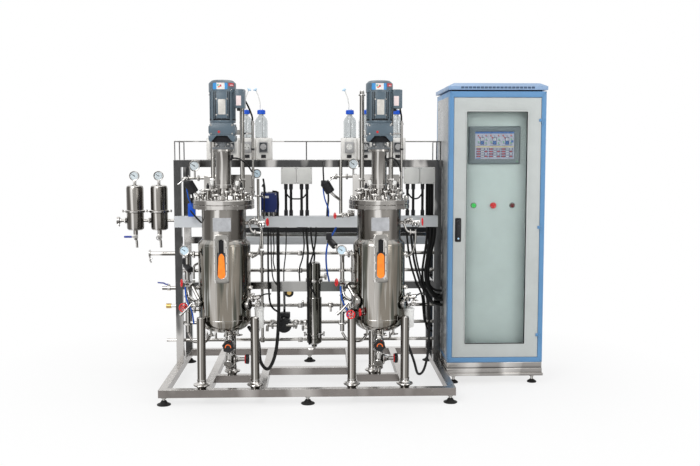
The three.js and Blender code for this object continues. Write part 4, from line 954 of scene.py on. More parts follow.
def side_ports(shape, side, r):
    """Ports low on the jacket: a blanked one at the right, a probe at the left."""
    out, foot = polar(1, 59), polar(r, 59, 600)
    shape.stub(foot, out, 26, 21, 32, (0.2, 0.1, 1))
    shape.turned([(30, 0), (30, 4), (26, 7), (18, 7), (14, 4.5)], "bright_steel", foot + out * 26, out, 32)
    turn, radius, height = (-62, 19, 614) if side == "left" else (-56, 33, 622)
    out, foot = polar(1, turn), polar(r, turn, height)
    shape.stub(foot, out, 24, radius * 0.75, radius + 4, UP)
    shape.turned([(radius, 0), (radius, 6), (radius * 0.85, 12), (radius * 0.5, 16), (0, 17)], "dome_steel",
                 foot + out * 25, out, 32)
    for turn, height in ((76, 905), (76, 700), (-78, 700), (112, 640)):
        out, foot = polar(1, turn), polar(r, turn, height)
        shape.rod(foot, foot + out * 24, 11, "shell_steel")
        shape.bolt(foot + out * 14, out, 15, head=11)
    for turn in (-150, 150):
        shape.stub(polar(r + 2, turn, 880), polar(1, turn), 22, 14, 25)


def build_sight_glass(side, sizes):
    """The bolted sight glass: a frame on a welded pad; behind its pane the broth is a painted glow, as no lamp lights
    it, and the dark inside above it is painted shade.
    """
    node = f"sight_glass_frame_{side}"
    shape, low, high = begin(node, side)
    z0, z1, half, front, back, corner = low.z, high.z, high.x, low.y, high.y, 15
    middle, upper = (z0 + z1) / 2, (z0 + z1) / 2 + 74

    def oval(width, length, corner, steps, z, y, paint, edge, x=0):
        shape.plate(shifted(rounded_box(width, length, corner, steps), x, z), (back - y[0], back - y[1]), paint, edge)

    outline = [(-half + corner, z0), (half - corner, z0), (half, z0 + corner), (half, z1 - corner), (half - corner, z1),
               (-half + corner, z1), (-half, z1 - corner), (-half, z0 + corner)]
    hole = shifted(rounded_box(50, z1 - z0 - 54, 24, 2), 0, middle)
    shape.plate(outline, (front, back - 0.2), "pipe_steel", 1.4, hole)
    # Painted shade: a dark pane stands for the unlit inside of the vessel behind the glass.
    oval(53, z1 - z0 - 50, 25, 3, middle, (3.4, 0.4), "window_dark", 0.4)
    # Painted glow: the broth behind the glass glows though no lamp lights it.
    taper = 0.5 if side == "left" else 0.12
    lens = [(x if z < 0 else x * (1 - taper * (z / 75) ** 2), z) for x, z in rounded_box(45, 150, 22, 6)]
    shape.plate(shifted(lens, 0, z0 + 102), (back - 6.4, back - 3.4), "warm_glow", 1.4)
    for x in (-21, 21):
        oval(12, z1 - z0 - 214, 5, 3, upper, (7, 3), "pipe_steel", 1.2, x)
    # Painted shade: the black slot above the broth stands for the dark inside.
    oval(30, z1 - z0 - 206, 4, 3, upper, (5.4, 3.4), "vent_black", 0.6)
    rises = [z0 + 26 + 47 * i for i in range(20) if z0 + 26 + 47 * i < z1 - 18]
    shape.bolts((-half + 10, half - 10), [front + 0.1], rises, FRONT, 6.6, head=4.5)
    shape.finish(f"{side}_sight_glass", node)
    pad = Shape(vessel_axis(side))
    pad.block((-half, half), (-sizes.jacket - 8.9, -sizes.bore - 5), (z0, z1), "shell_steel", 3)
    pad.finish(f"{side}_sight_pad")


# --- lids
LID_PORTS = [  # degrees from the front, radius from the axis, neck height, clamp radius
    (-68, 128, 42, 25), (-44, 122, 66, 19), (-18, 126, 34, 25), (14, 124, 52, 17), (38, 126, 36, 25),
    (66, 122, 70, 17), (92, 128, 40, 25), (-96, 124, 58, 17), (128, 122, 46, 25), (-128, 122, 62, 19),
]
CAPPED_PORTS = (-44, 66)


class BIOREACTOR_OT_lids(bpy.types.Operator):
    """Builds the bolted lids with their ports, and the masts behind them"""
    bl_idname = "bioreactor.lids"
    bl_label = "Lids and masts"

    def execute(self, context):
        for side in SIDES:
            shape, low, high = begin(f"vessel_lid_{side}", side)
            lid_plate(shape, context.scene.bioreactor_vessel)
            for place in LID_PORTS:
                lid_port(shape, *place)
            slanted_ports(shape)
            mast_bracket(shape, high.z)
            shape.finish(f"{side}_lid", f"vessel_lid_{side}")
        return {"FINISHED"}


def lid_plate(shape, sizes):
    base, top, r = FLANGE_TOP, LID_TOP, sizes.flange
    shape.turned([(10.8, base), (150, base), (150, base + 3), (r - 1.5, base + 3), (r, base + 4.5), (r, top - 2),
                  (r - 2, top), (92, top), (86, top + 2), (67, top + 22), (63, top + 25), (38, top + 25),
                  (38, top + 69), (10.8, top + 69)], "rim_steel", steps=96, ring=True)
    for i in range(sizes.lid_bolts):
        spot = polar(r - 15, 360 * (i + 0.5) / sizes.lid_bolts)
        for low, high, radius, steps in ((base - 28, top + 8, 5, 12), (top, top + 3, 11.5, 20),
                                         (top + 3, top + 12, 9.6, 6)):
            shape.rod(spot + UP * low, spot + UP * high, radius, steps=steps)
        shape.turned([(8.2, top + 12), (8, top + 17), (5.5, top + 22), (0, top + 24)], "bright_steel", spot, steps=16)
    shape.bolt_ring(8, 20, 52, top + 24, UP, 7)


def lid_port(shape, turn, radius, height, clamp):
    spot = polar(radius, turn, LID_TOP)
    neck = clamp * 0.52
    shape.stub(spot - UP * 2, UP, height + 2, neck, clamp, polar(1, turn + 40))
    shape.turned([(neck, 0), (neck + 5, 0), (neck, 5)], "shell_steel", spot, steps=24, ring=True)
    lid = spot + UP * height
    if turn in CAPPED_PORTS:
        shape.rod(lid, lid + UP * 26, neck * 0.9, "black_plastic", 2)
        shape.rod(lid + UP * 26, lid + UP * 36, neck * 0.5, "black_plastic")
    else:
        shape.turned([(clamp * 0.8, 0), (clamp * 0.8, 3), (clamp * 0.6, 5.5), (0, 7)], "bright_steel", lid, steps=28)


def slanted_ports(shape):
    """Inoculation ports that lean outwards on either side of the column."""
    for foot, tip, paint in (((-52, -62, -2), (-64, -80, 118), "filter_white"),
                             ((70, -58, -2), (90, -74, 114), "filter_white"),
                             ((48, 66, -2), (62, 92, 96), "black_plastic")):
        foot, tip = Vector(foot) + UP * LID_TOP, Vector(tip) + UP * LID_TOP
        way = (tip - foot).normalized()
        shape.stub(foot, way, 66, 11, 19, (1, -0.4, 0))
        shape.rod(foot + way * 66, foot + way * 92, 9.5)
        shape.rod(foot + way * 92, tip, 11.5, paint, 2.5)
        shape.tube_ring(foot + way * 98, way, 11.5, 1.4, steps=24, sides=8)


def mast_bracket(shape, summit):
    """A polished plate behind the lid that carries two masts, a tie and the motor's conduit."""
    top, y, conduit = LID_TOP, 270, (160.5, 266)
    shape.plate(shifted(rounded_box(304, 145, 10), 0, top + 72.5), around(y, 8), "bracket_steel", 1)
    shape.block((-75, 75), (120, y - 3), (top - 1, top + 8), "bracket_steel", 1)
    for x in (-60, 60):
        shape.plate([(-4 + x, top + 7), (4 + x, top + 7), (4 + x, top + 60), (-4 + x, top + 60)], (y - 40, y - 3),
                    "bracket_steel", 0.6)
    shape.bolts((-60, 60), [150], [top + 8], UP, 9)
    for x, tip in ((-93, summit), (93, summit - 22)):
        shape.bar(x, y, (top + 20, tip - 6), 15, "pipe_steel")
        shape.turned([(15, 0), (21, 0), (22, 1.5), (22, 7), (21, 8.5), (15, 8.5)], "bright_steel", (x, y, tip - 34),
                     steps=32, ring=True)
        shape.bar(x, y, (tip - 6, tip), 12, edge=2, steps=28)
        for rise in (38, 112):
            shape.block(around(x, 40), (y - 20, y - 3.5), (top + rise - 9, top + rise + 9), "bright_steel", 3)
            shape.bolts(around(x, 26), [y - 20], [top + rise], FRONT, 5)
        shape.tube_ring((x, y, top + 250), UP, 15, 1.5, steps=32, sides=8)
    shape.block((-93, 93), around(y, 10), (top + 398, top + 428), "bracket_steel", 2)
    shape.rod((*conduit, top + 4), (*conduit, top + 485), 8.5, "pipe_steel")
    for rise, paint in ((30, "bright_steel"), (120, "bright_steel"), (300, "black_plastic"), (460, "bright_steel")):
        shape.turned([(8.5, 0), (11.5, 0), (11.5, 12), (8.5, 12)], paint, (*conduit, top + rise), steps=20, ring=True)
    for x, rise in ((140, 60), (93, 400)):
        shape.block((x, conduit[0]), (y - 8, y + 2), (top + rise, top + rise + 12), "bright_steel", 1.5)


# --- drives
class BIOREACTOR_OT_drives(bpy.types.Operator):
    """Builds each vessel's drive: bearing column, gearbox and finned motor"""
    bl_idname = "bioreactor.drives"
    bl_label = "Stirrer drives"

    def execute(self, context):
        for side in SIDES:
            bearing_column(side)
            gearbox(side)
            motor(side, context.scene.bioreactor_drive)
        return {"FINISHED"}


def bearing_column(side):
    shape, low, high = begin(f"drive_column_{side}", side)
    foot, top = low.z, high.z
    shape.turned([(36, foot + 4), (30, foot + 4), (30, foot), (49, foot), (50.5, foot + 1.5), (50.5, foot + 20),
                  (49, foot + 22), (46, foot + 22), (46, top - 16), (48, top - 13), (65, top - 13), (66, top - 12),
                  (66, top - 1), (65, top), (36, top)], "column_steel", steps=64, ring=True)
    shape.bolt_ring(8, 22, 57, top - 13.4, -UP, 6)
    shape.bolt_ring(6, 10, 49, foot + 11, None, 4.4, head=2.6)
    spot = polar(44, 62, foot + 175)
    shape.rod(spot, spot + polar(14, 62), 7.5, "black_plastic")
    shape.finish(f"{side}_bearing_column", f"drive_column_{side}")


def gearbox(side):
    shape, low, high = begin(f"gearbox_{side}", side)
    foot, top, half, waist = low.z, high.z, 79, low.z + 80
    shape.turned([(65, foot), (66, foot + 1), (66, foot + 12), (65, foot + 13), (48, foot + 13), (46, foot + 18),
                  (46, foot + 40), (52, foot + 46)], "flange_grey", steps=48)
    shape.bolt_ring(8, 22, 57, foot + 12.6, UP, 6)
    # The black trapezoid below the body, between the lugs, is painted shade under the gearbox.
    for paint, depth, edge, corners in (
            ("motor_paint", (-75, 75), 4, ((half - 12, waist), (half, waist + 20), (half, top - 24), (half - 20, top))),
            ("vent_black", (-60, 60), 2, ((46, waist + 2), (62, foot + 44))),
            ("motor_paint", (-78.5, -74), 2, ((half - 22, waist + 8), (half - 9, waist + 24), (half - 9, top - 28),
                                              (half - 24, top - 10)))):
        shape.plate([*corners, *((-x, z) for x, z in reversed(corners))], depth, paint, edge)
    for way in (-1, 1):
        lug = [(31, waist + 2), (62, foot + 47), (72, foot + 45), (half, foot + 58), (half, waist + 2)]
        shape.plate([(x * way, z) for x, z in lug][::way], (-76, 70), "motor_paint", 1.5)
    # Painted glow: the red dot on the gearbox is lit like a lamp, though it is none.
    shape.bar(-16, (-75, -80), waist + 24, 7.5, "red_dot")
    shape.bolts((-62, 62), [-75], (waist + 14, top - 16), FRONT, 5.5)
    shape.bolts((-34.1, 34.1), [-46], [foot + 30], FRONT, 6)
    shape.bar((-half - 1, -half + 3), 0, waist + 40, 32, "motor_paint")
    shape.bar((half - 3, half + 0.5), 0, waist + 40, 32, "motor_paint")
    shape.finish(f"{side}_gearbox", f"gearbox_{side}")


def motor(side, sizes):
    shape, low, high = begin(f"motor_{side}", side)
    foot, top, body, cowl = low.z, high.z, sizes.body, sizes.cowl
    start, end = foot + 22, top - 64
    shape.turned([(77, foot), (78, foot + 1.5), (78, foot + 14), (74, foot + 20), (body, start), (body, end + 1)],
                 "motor_paint", steps=64)
    shape.turned([(60, foot + 14.5), (79, foot + 14.5), (79, foot + 21), (60, foot + 21)], "vent_black", steps=64,
                 ring=True)
    for i in range(4):
        shape.block((64, 81), (-9, 9), (foot + 12, end - 2), "motor_paint", 3, about_axis(45 + 90 * i))
    for i in range(sizes.fins):
        shape.block((body - 3, 78.5), (-1.3, 1.3), (start, end - 2), "motor_paint", 0.7,
                    about_axis(360 * i / sizes.fins))
    shape.turned([(70, end - 6), (cowl, end - 6), (cowl, top - 20), (cowl - 2, top - 16), (cowl - 15, top - 4),
                  (cowl - 20, top - 1), (cowl - 24, top), (0, top), (0, top - 3), (70, top - 6)], "motor_paint",
                 steps=64, ring=True)
    # Painted shade: thin dark rings stand for the shade in the cowl's grille slots.
    for ring in (22, 38, 54):
        shape.tube_ring((0, 0, top - 0.4), UP, ring, 1.2, "dark_recess", 40, 6)
    shape.bolt_ring(4, 45, cowl - 0.5, end + 4, None, 3.6, head=1.6)
    shape.bolt_ring(4, 45, 74, foot + 14, UP, 7)
    cowl_bands(shape, cowl, top)
    # Painted shade: a dark plate behind the centre panel stands for the shade between the fins.
    panels = [((-47, 47), (-74, -66), -6, "motor_shade", 1.5), ((-26, 32), (-80.6, -72), -6, "motor_paint", 1.5)]
    panels += [(around(x, 3.2), (-78, -60), -4, "motor_paint", 1) for x in (-49, -39.5, 43.5, 53)]
    panels += [(around(x, 4.8), (-82, -70), -4, "motor_paint", 1) for x in (-28, 34)]
    for x, y, drop, paint, edge in panels:
        shape.block(x, y, (start + (4 if x[1] == 32 else 1), end + drop), paint, edge)
    shape.bolts((-28, 34), [-78], (start + 24, end - 50), FRONT, 5.5, head=3.4)
    shape.block((-19, 25), (-82, -77), (start + 26, end - 52), "label_silver", 0.8)
    for x, z in itertools.product((-16, 22), (start + 29, end - 55)):
        shape.bar(x, (-82, -83), z, 1.6, steps=10)
    terminal_box(shape, high.x, end)
    shape.finish(f"{side}_motor", f"motor_{side}")


def cowl_bands(shape, cowl, top):
    """Plain colour fields on the front of the fan cowl: facing, sweep, foot and top below the cowl's top, finish."""
    for facing, sweep, low, high, paint in ((-5, 64, 57, 19, "label_white"), (-28, 18, 57, 19, "print_blue"),
                                            (21, 12, 57, 19, "print_blue"), (-9, 8, 47, 39, "orange_plastic"),
                                            (-2, 8, 42, 30, "print_red"), (-13, 7, 38, 27, "print_green"),
                                            (-4, 28, 25, 21, "label_pink"), (46, 28, 38, 19, "print_red"),
                                            (48, 16, 35, 29, "label_pink")):
        start, end = (-0.2, 0.5) if paint == "label_white" else (0, 0.8)
        shape.turned([(cowl + r, top - z) for r, z in ((start, low), (end, low), (end, high), (start, high))],
                     paint, steps=10, ring=True, sweep=sweep, facing=facing)


def terminal_box(shape, reach, end):
    low, high = end - 103, end + 11
    for x, half, z, paint, edge in (((62, 84), 34, (low + 6, high - 6), "motor_paint", 2),
                                    ((80, reach - 9), 46, (low, high), "motor_paint", 4),
                                    ((reach - 10, reach), 45, (low + 1, high - 1), "motor_paint", 3.5)):
        shape.block(x, (-half, half), z, paint, edge)
    shape.block((85, reach - 21), (-46.8, -45), (low + 16, high - 40), "label_pink", 0.3)
    shape.bolts([reach - 0.6], (-37, 37), (low + 9, high - 9), RIGHT, 4, head=0.4)
    shape.bar(reach - 14, (38, 46), end - 45, 9, "black_plastic")
    for y in (-18, 18):
        shape.bar(96, y, (low + 2, low - 14), 9, "black_plastic")


# --- valves
OUTLETS = {"left": 26, "right": 0}


def hand_wheel(shape, spot, facing, radius, paint="red_plastic"):
    """A three-spoked wheel on its stem nut."""
    spot, facing = Vector(spot), unit(facing)
    rim = radius * 0.13
    shape.tube_ring(spot, facing, radius - rim, rim, paint, 36, 10)
    shape.rod(spot - facing * rim, spot + facing * rim * 1.6, radius * 0.3, paint)
    shape.rod(spot + facing * rim * 1.6, spot + facing * rim * 2.6, radius * 0.14, edge=0.4, steps=6)
    for i in range(3):
        arm = Matrix.Rotation(math.pi * i / 3, 3, facing) @ unit(facing.orthogonal()) * (radius - rim)
        shape.rod(spot - arm, spot + arm, radius * 0.09, paint, 0.4, 10)


def lobed_knob(shape, spot, along, radius, thick):
    """A grip knob with six finger lobes round a crowned core."""
    spot, along, r = Vector(spot), unit(along), radius
    shape.turned([(r * 0.82, 0), (r * 0.86, 2), (r * 0.86, thick * 0.8), (r * 0.7, thick * 0.96), (0, thick)],
                 "black_plastic", spot, along, 36)
    for i in range(6):
        arm = Matrix.Rotation(math.tau * i / 6, 3, along) @ unit(along.orthogonal()) * (r * 0.79)
        shape.rod(spot + arm + along, spot + arm + along * thick * 0.86, r * 0.205, "black_plastic", 1.8, 16)


def diaphragm_valve(shape, spot, pipe_way, bonnet_way, size):
    """A welded valve body between two clamps, with its bonnet and bolts off to one side."""
    spot, pipe_way, bonnet_way = Vector(spot), unit(pipe_way), unit(bonnet_way)
    reach = pipe_way * size * 1.3
    shape.rod(spot - reach, spot + reach, size * 0.5)
    for end in (-1, 1):
        shape.clamp(spot + reach * end, pipe_way, size, thick=size * 0.5, wing=bonnet_way)
    profile = [(0.8, 0), (0.95, 0.3), (0.95, 0.75), (0.6, 0.85), (0.55, 1.5), (0.3, 1.7), (0.3, 2.0)]
    shape.turned([(size * r, size * z) for r, z in profile], "bright_steel", spot, bonnet_way, 28)
    across = bonnet_way.cross(pipe_way)
    for a, b in itertools.product((-0.66, 0.66), repeat=2):
        shape.bolt(spot + (pipe_way * a + across * b + bonnet_way * 0.78) * size, bonnet_way, size * 0.24)


def ball_valve(shape, spot, pipe_way, lever_way, size, paint, stem=FRONT):
    """A three-piece ball valve with a flat lever in a sleeve."""
    spot, pipe_way, lever_way, stem = Vector(spot), unit(pipe_way), unit(lever_way), Vector(stem)
    shape.rod(spot - pipe_way * size * 1.5, spot + pipe_way * size * 1.5, size * 0.66, "pipe_steel", 1, 6)
    shape.rod(spot - pipe_way * size * 0.6, spot + pipe_way * size * 0.6, size * 0.95, edge=2, steps=24)
    top = spot + stem * size * 1.25
    shape.rod(spot, top, size * 0.3)
    shape.rod(top - stem * 2, top + stem * 2, size * 0.5, edge=0.5, steps=6)
    lift = stem * size * 0.35
    shape.pipe([top, top + lever_way * size * 1.2, top + lever_way * size * 1.7 + lift,
                top + lever_way * size * 4 + lift],
               size * 0.26, paint, 6, 10)


def filter_cup(shape, spot, radius, height):
    """A white capsule filter hung below its fitting."""
    spot = Vector(spot)
    shape.turned([(radius * 0.5, 0), (radius * 0.9, 6), (radius, 14), (radius, height - 22),
                  (radius * 1.08, height - 20), (radius * 1.08, height - 8),
                  (radius * 0.6, height)], "filter_white", spot, steps=32)
    shape.rod(spot + UP * (height - 1), spot + UP * (height + 22), 7)
    shape.rod(spot - UP * 16, spot + UP, 6, "filter_white")


class BIOREACTOR_OT_bottom_valves(bpy.types.Operator):
    """Builds the outlet valve under each vessel with its turning knobs"""
    bl_idname = "bioreactor.bottom_valves"
    bl_label = "Bottom valves"

    def execute(self, context):
        for side in SIDES:
            outlet_stack(side, OUTLETS[side])
            outlet_knobs(side, OUTLETS[side])
        return {"FINISHED"}


def outlet_stack(side, x):
    shape = Shape(vessel_axis(side))
    shape.bar(x, 0, (380, 424), 22, "shell_steel")
    for paint, steps, profile in (("bright_steel", 40, [(20, 306), (30, 318), (33, 340), (31, 366), (22, 392),
                                                        (0, 394)]),
                                  ("bright_steel", 36, [(17, 178), (27, 196), (27, 282), (19, 298)]),
                                  ("pipe_steel", 28, [(12, 145), (14, 148), (14, 180)])):
        shape.turned(profile, paint, (x, 0, 0), steps=steps)
    shape.turned([(33, 0), (35, 3), (35, 12), (30, 15), (24, 24), (14, 30), (14, 35.5)], "bright_steel",
                 (x, -30, 345), FRONT, 36)
    shape.turned([(25, 0), (27, 3), (27, 11), (22, 15), (16, 30), (13, 44), (13, 68)], "bright_steel",
                 (x + 23, 0, 248), RIGHT, 32)
    for turn in range(4):
        shape.bolt(on_face((x, -44, 345), 28, 45 + 90 * turn), FRONT, 6)
    shape.bolts(around(x, 28), [-25], (214, 282), FRONT, 7)
    for front, z in itertools.product((-1, 1), (214, 282)):
        shape.bolt((x + 22, 14 * front, z), RIGHT, 6)
    shape.rod((x - 4, -24, 232), (x - 4, -44, 226), 16)
    for spot, along, radius, wing in (((x, 0, 404), UP, 34, (1, -0.5, 0)), ((x, 0, 303), UP, 32, (-1, -0.6, 0)),
                                      ((x + 30, 0, 248), RIGHT, 31, (0, -1, -0.3)),
                                      ((x, 0, 190), UP, 27, (-0.6, -1, 0)),
                                      ((x - 4, -42, 227), (0, -1, -0.25), 24, (-1, 0, 0.3))):
        shape.clamp(spot, along, radius, wing=wing)
    shape.finish(f"{side}_outlet_valve", f"bottom_valve_{side}")


def outlet_knobs(side, x):
    knob, drain = Shape(vessel_axis(side)), Shape(vessel_axis(side))
    lobed_knob(knob, (x, -66.2, 345), FRONT, 37.6, 42)
    knob.turned([(13, 42), (19, 42), (19, 43.6), (13, 43.6)], "orange_plastic", (x, -66.2, 345), FRONT, 24, ring=True,
                sweep=200, facing=180)
    for lean in (-0.35, 0.35):
        spot = Vector((x + 31 * math.sin(lean), -86, 345 + 31 * math.cos(lean)))
        knob.rod(spot, spot + UP * 3.2, 4, "red_plastic", steps=12)
    # Painted shade in the knob's centre hollow.
    knob.bar(x, (-107, -109.6), 345, 8, "dark_recess")
    lobed_knob(drain, (x + 98, 0, 248), RIGHT, 33.6, 22)
    drain.turned([(26, 0), (27.5, 1.5), (27.5, 5.6)], "red_plastic", (x + 92.4, 0, 248), RIGHT, 32)
    for shape, name, node in ((knob, "outlet_knob", f"bottom_valve_knob_{side}"),
                              (drain, "drain_grip", f"drain_knob_{side}")):
        shape.finish(f"{side}_{name}", node, body=node)


class BIOREACTOR_OT_side_valves(bpy.types.Operator):
    """Builds the jacket's side pipe with its gauge, valves and red handwheel, and the valves on the shell"""
    bl_idname = "bioreactor.side_valves"
    bl_label = "Side valves"

    def execute(self, context):
        for side in SIDES:
            side_header(side)
            jacket_fittings(side)
        return {"FINISHED"}


def side_header(side):
    node = f"handwheel_{side}"
    turning, low, high = begin(node, side)
    shape = Shape(vessel_axis(side))
    middle = (low + high) / 2
    wheel, x = Vector((middle.x, high.y, middle.z)), -226
    shape.bar(x, 0, (420, 930), 13, "pipe_steel")
    for z in (560, 900):
        shape.bar((x, -159.3), 0, z, 10.5, "pipe_steel")
        shape.clamp((-186, 0, z), RIGHT, 22, wing=(0, -1, 0.4))
        shape.turned([(13, -16), (17, -12), (17, 12), (13, 16)], "pipe_steel", (x, 0, z), steps=28, ring=True)
    shape.clamp((x, 0, 470), UP, 25, wing=(-0.3, -1, 0))
    shape.clamp((x, 0, 800), UP, 25, wing=(-1, -0.6, 0))
    shape.rod((x, 0, 923), (x - 5, -62, 928), 7, "pipe_steel")
    shape.gauge((x - 6, -78, 932), (0.12, -1, 0.1), 31, "dial_blue")
    span = sorted((x, wheel.x))
    shape.bar((span[0] - 13, span[1] + 13), 0, wheel.z, 19, edge=3, steps=28)
    shape.bar(x, 0, around(wheel.z, 52), 17, edge=3, steps=24)
    shape.turned([(17, 0), (19, 8), (17, 26), (11, 32), (9, 40)], "bright_steel", (wheel.x, 0, wheel.z), FRONT, 28)
    shape.rod((wheel.x, -38, wheel.z), wheel + Vector((0, 0.4, 0)), 5.5)
    shape.bar(wheel.x, (-48, -58), wheel.z, 10, edge=1, steps=6)
    shape.finish(f"{side}_jacket_header", f"side_valves_{side}")
    hand_wheel(turning, wheel + FRONT * 4, FRONT, 27.8)
    turning.finish(f"{side}_jacket_wheel", node, body=node)


JACKET_PIPES = [  # finish, radius, bend, sides, points
    ("bright_steel", 10, 16, 14, [(-222, -14, 724), (-196, -40, 716), (-168, -70, 672), (-150, -84, 640)]),
    ("pipe_steel", 9, 24, 14, [(-226, 0, 690), (-215, -30, 640), (-176, -58, 622)]),
    ("bright_steel", 6.5, 10, 14, [(-262, -96, 540), (-232, -92, 566), (-190, -84, 612)]),
    ("tube_blue", 4.5, 30, 10, [(-238, -30, 704), (-236, -34, 660), (-226, -40, 612), (-196, -44, 560),
                                (-186, -44, 480)]),
    ("pipe_steel", 6.5, 30, 14, [(224, -8, 1050), (226, -8, 980), (206, -4, 900), (166, 0, 880)]),
    ("black_rubber", 4.5, 20, 10, [(214, -90, 650), (250, -84, 668), (284, -60, 664)]),
    ("pipe_steel", 8, 26, 14, [(-84, -92, 410), (-110, -80, 372), (-196, -40, 366), (-226, 0, 410)]),
]
JACKET_VALVES = [  # place, way of the pipe, way of the bonnet, size
    ((-222, -6, 724), (0, 0, 1), (-1, -0.15, 0.05), 13), ((-210, -20, 636), (0.7, -0.2, -0.6), (-0.5, -0.6, 0.5), 13),
    ((176, 0, 1094), (1, -0.2, 0), (0.1, -0.4, 1), 15), ((222, -8, 1096), (1, -0.2, 0), (0.1, -0.5, -1), 14),
    ((204, -84, 612), (0.5, -0.2, 0.9), (0.3, -1, 0.3), 14),
]


def jacket_fittings(side):
    """Fixed valves, probes and filters round the jacket and the upper shell."""
    shape = Shape(vessel_axis(side))
    for place in JACKET_VALVES:
        diaphragm_valve(shape, *place)
    for paint, radius, bend, sides, points in JACKET_PIPES:
        shape.pipe(points, radius, paint, bend, sides)
    hand_wheel(shape, (-262, -12, 726), (-1, -0.35, 0.05), 25)
    hand_wheel(shape, (266, -16, 1099), (1, -0.25, 0.05), 25)
    shape.clamp((-196, -40, 716), (1, -1, -0.6), 18, thick=11, wing=(0, -1, 0.6))
    shape.rod((-262, -96, 540), (-245, -94, 556), 9)
    shape.rod((132, 10, 1092), (252, -14, 1098), 11, "pipe_steel")
    for z, reach in ((1040, 226), (1118, 206)):
        shape.pipe([(150, -10, 1092), (170, -22, z), (reach, -26, z - 6)], 7, "bright_steel", 14)
        shape.clamp((190, -24, z - 3), RIGHT, 15, thick=10, wing=(0, -1, 0.5))
    shape.rod((150, -66, 636), (222, -92, 652), 13, "pipe_steel")
    shape.clamp((176, -76, 642), (1, -0.36, 0.2), 27, wing=(0.3, -0.5, 1))
    if side == "left":
        shape.rod((-240, 20, 835), (-204, -34, 808), 21, "solenoid_black", 5, 28)
        shape.block((-258, -226), (-6, 34), (838, 878), "solenoid_black", 5)
        filter_cup(shape, (212, -30, 444), 28, 138)
        shape.bar(212, -30, (600, 622), 10)
        shape.pipe([(-200, -20, 1170), (-160, -60, 1130), (-136, -20, 1098)], 5, "black_rubber", 30, 10)
    else:
        shape.rod((-304, 20, 982), (-270, -30, 950), 21, "solenoid_black", 5, 28)
        shape.block((-326, -290), (-6, 34), (986, 1030), "solenoid_black", 5)
        shape.pipe([(-272, -28, 954), (-252, -26, 934), (-232, -20, 900), (-228, -12, 850)], 8, "bright_steel", 20)
        filter_cup(shape, (182, -44, 448), 32, 128)
        hand_wheel(shape, (-122, -134, 560), (-1, -0.2, 0), 25)
        shape.rod((-104, -112, 560), (-120, -132, 560), 8)
        shape.rod((-150, 60, 1140), (-262, 40, 1132), 11, "pipe_steel")
        diaphragm_valve(shape, (-206, 50, 1136), (1, 0.2, 0), (0, -1, 0.3), 15)
        hand_wheel(shape, (-270, 34, 1134), (-1, -0.4, 0), 20)
    for turn in (-40, 8, 44):
        foot = polar(120, turn, 452)
        shape.rod(foot, foot + UP * -42, 7, "pipe_steel")
        shape.clamp(foot + UP * -34, UP, 15, thick=10, wing=polar(1, turn))
    shape.finish(f"{side}_jacket_fittings")


# --- rear frame and services
DUCT_FOOT, BLUE_CABLE = 1024, 10
CABLES = [  # radius, start at the duct's foot, the way from there
    (11, (-205, 700), (-205, 690, 960), (-200, 600, 700), (-196, 500, 440), (-212, 420, 235), (-258, 380, 135),
     (-306, 350, 190), (-318, 300, 330), (-366, 176, 446)),
    (6.5, (-270, 704), (-271, 700, 960), (-272, 690, 800), (-268, 664, 620), (-250, 640, 500), (-182, 664, 440)),
    (4, (-252, 704), (-252, 700, 960), (-250, 690, 800), (-240, 668, 690), (-214, 660, 640), (-190, 690, 628)),
    (4, (-236, 704), (-236, 702, 980), (-232, 694, 880), (-238, 690, 800), (-230, 786, 722)),
    (4, (-150, 704), (-150, 700, 960), (-154, 690, 850), (-166, 690, 740), (-168, 700, 658)),
    (8, (-14, 704), (-12, 696, 960), (-4, 640, 860), (-6, 562, 780), (-2, 556, 600), (-2, 560, 420), (2, 566, 300),
     (6, 586, 250)),
    (6, (16, 704), (18, 700, 960), (30, 670, 880), (40, 630, 850), (37, 624, 801)),
    (6, (50, 704), (50, 696, 970), (38, 636, 880), (8, 564, 780), (-2, 552, 710), (14, 550, 640), (36, 552, 600),
     (46, 553, 575)),
    (5, (-36, 704), (-34, 702, 980), (-30, 694, 900), (-40, 690, 820), (-62, 690, 740), (-60, 700, 658)),
    (6, (186, 704), (170, 690, 990), (134, 682, 930), (118, 680, 840), (122, 682, 740), (138, 690, 657)),
    (8, (690, 704), (692, 700, 960), (712, 690, 800), (752, 670, 650), (798, 640, 540), (806, 600, 400),
     (790, 500, 230), (748, 380, 124), (702, 320, 110), (664, 240, 220), (584, 176, 440)),
    (6, (708, 704), (710, 700, 960), (730, 696, 800), (768, 690, 640), (786, 690, 500), (792, 700, 400),
     (806, 722, 330), (846, 744, 300)),
    (7, (662, 704), (664, 700, 960), (684, 696, 800), (724, 694, 660), (766, 690, 560), (778, 692, 450),
     (794, 716, 370), (846, 748, 336)),
    (8, (800, 700), (800, 698, 980), (792, 690, 900), (776, 684, 800), (768, 680, 720), (776, 678, 640),
     (806, 676, 560), (850, 676, 508), (906, 676, 494)),
    (9, (822, 692), (822, 690, 980), (812, 684, 900), (796, 676, 800), (786, 672, 720), (794, 670, 650),
     (822, 668, 588), (860, 668, 540), (906, 668, 528)),
    (9, (836, 728), (836, 728, 980), (828, 730, 900), (812, 732, 800), (800, 734, 730), (806, 734, 670),
     (826, 734, 620), (860, 734, 590), (906, 734, 584)),
]


class BIOREACTOR_OT_frame_fittings(bpy.types.Operator):
    """Builds the feet, terminal boxes, service pipes and cables of the skid's rear frame"""
    bl_idname = "bioreactor.frame_fittings"
    bl_label = "Frame fittings"

    def execute(self, context):
        levelling_feet()
        terminal_boxes()
        service_pipes()
        instruments()
        for number, (radius, start, *points) in enumerate(CABLES, 1):
            hang(f"skid_cable_{number}", from_datum(smooth_route([(*start, DUCT_FOOT), *points])), radius,
                 "tube_blue" if number == BLUE_CABLE else "black_rubber")
        return {"FINISHED"}


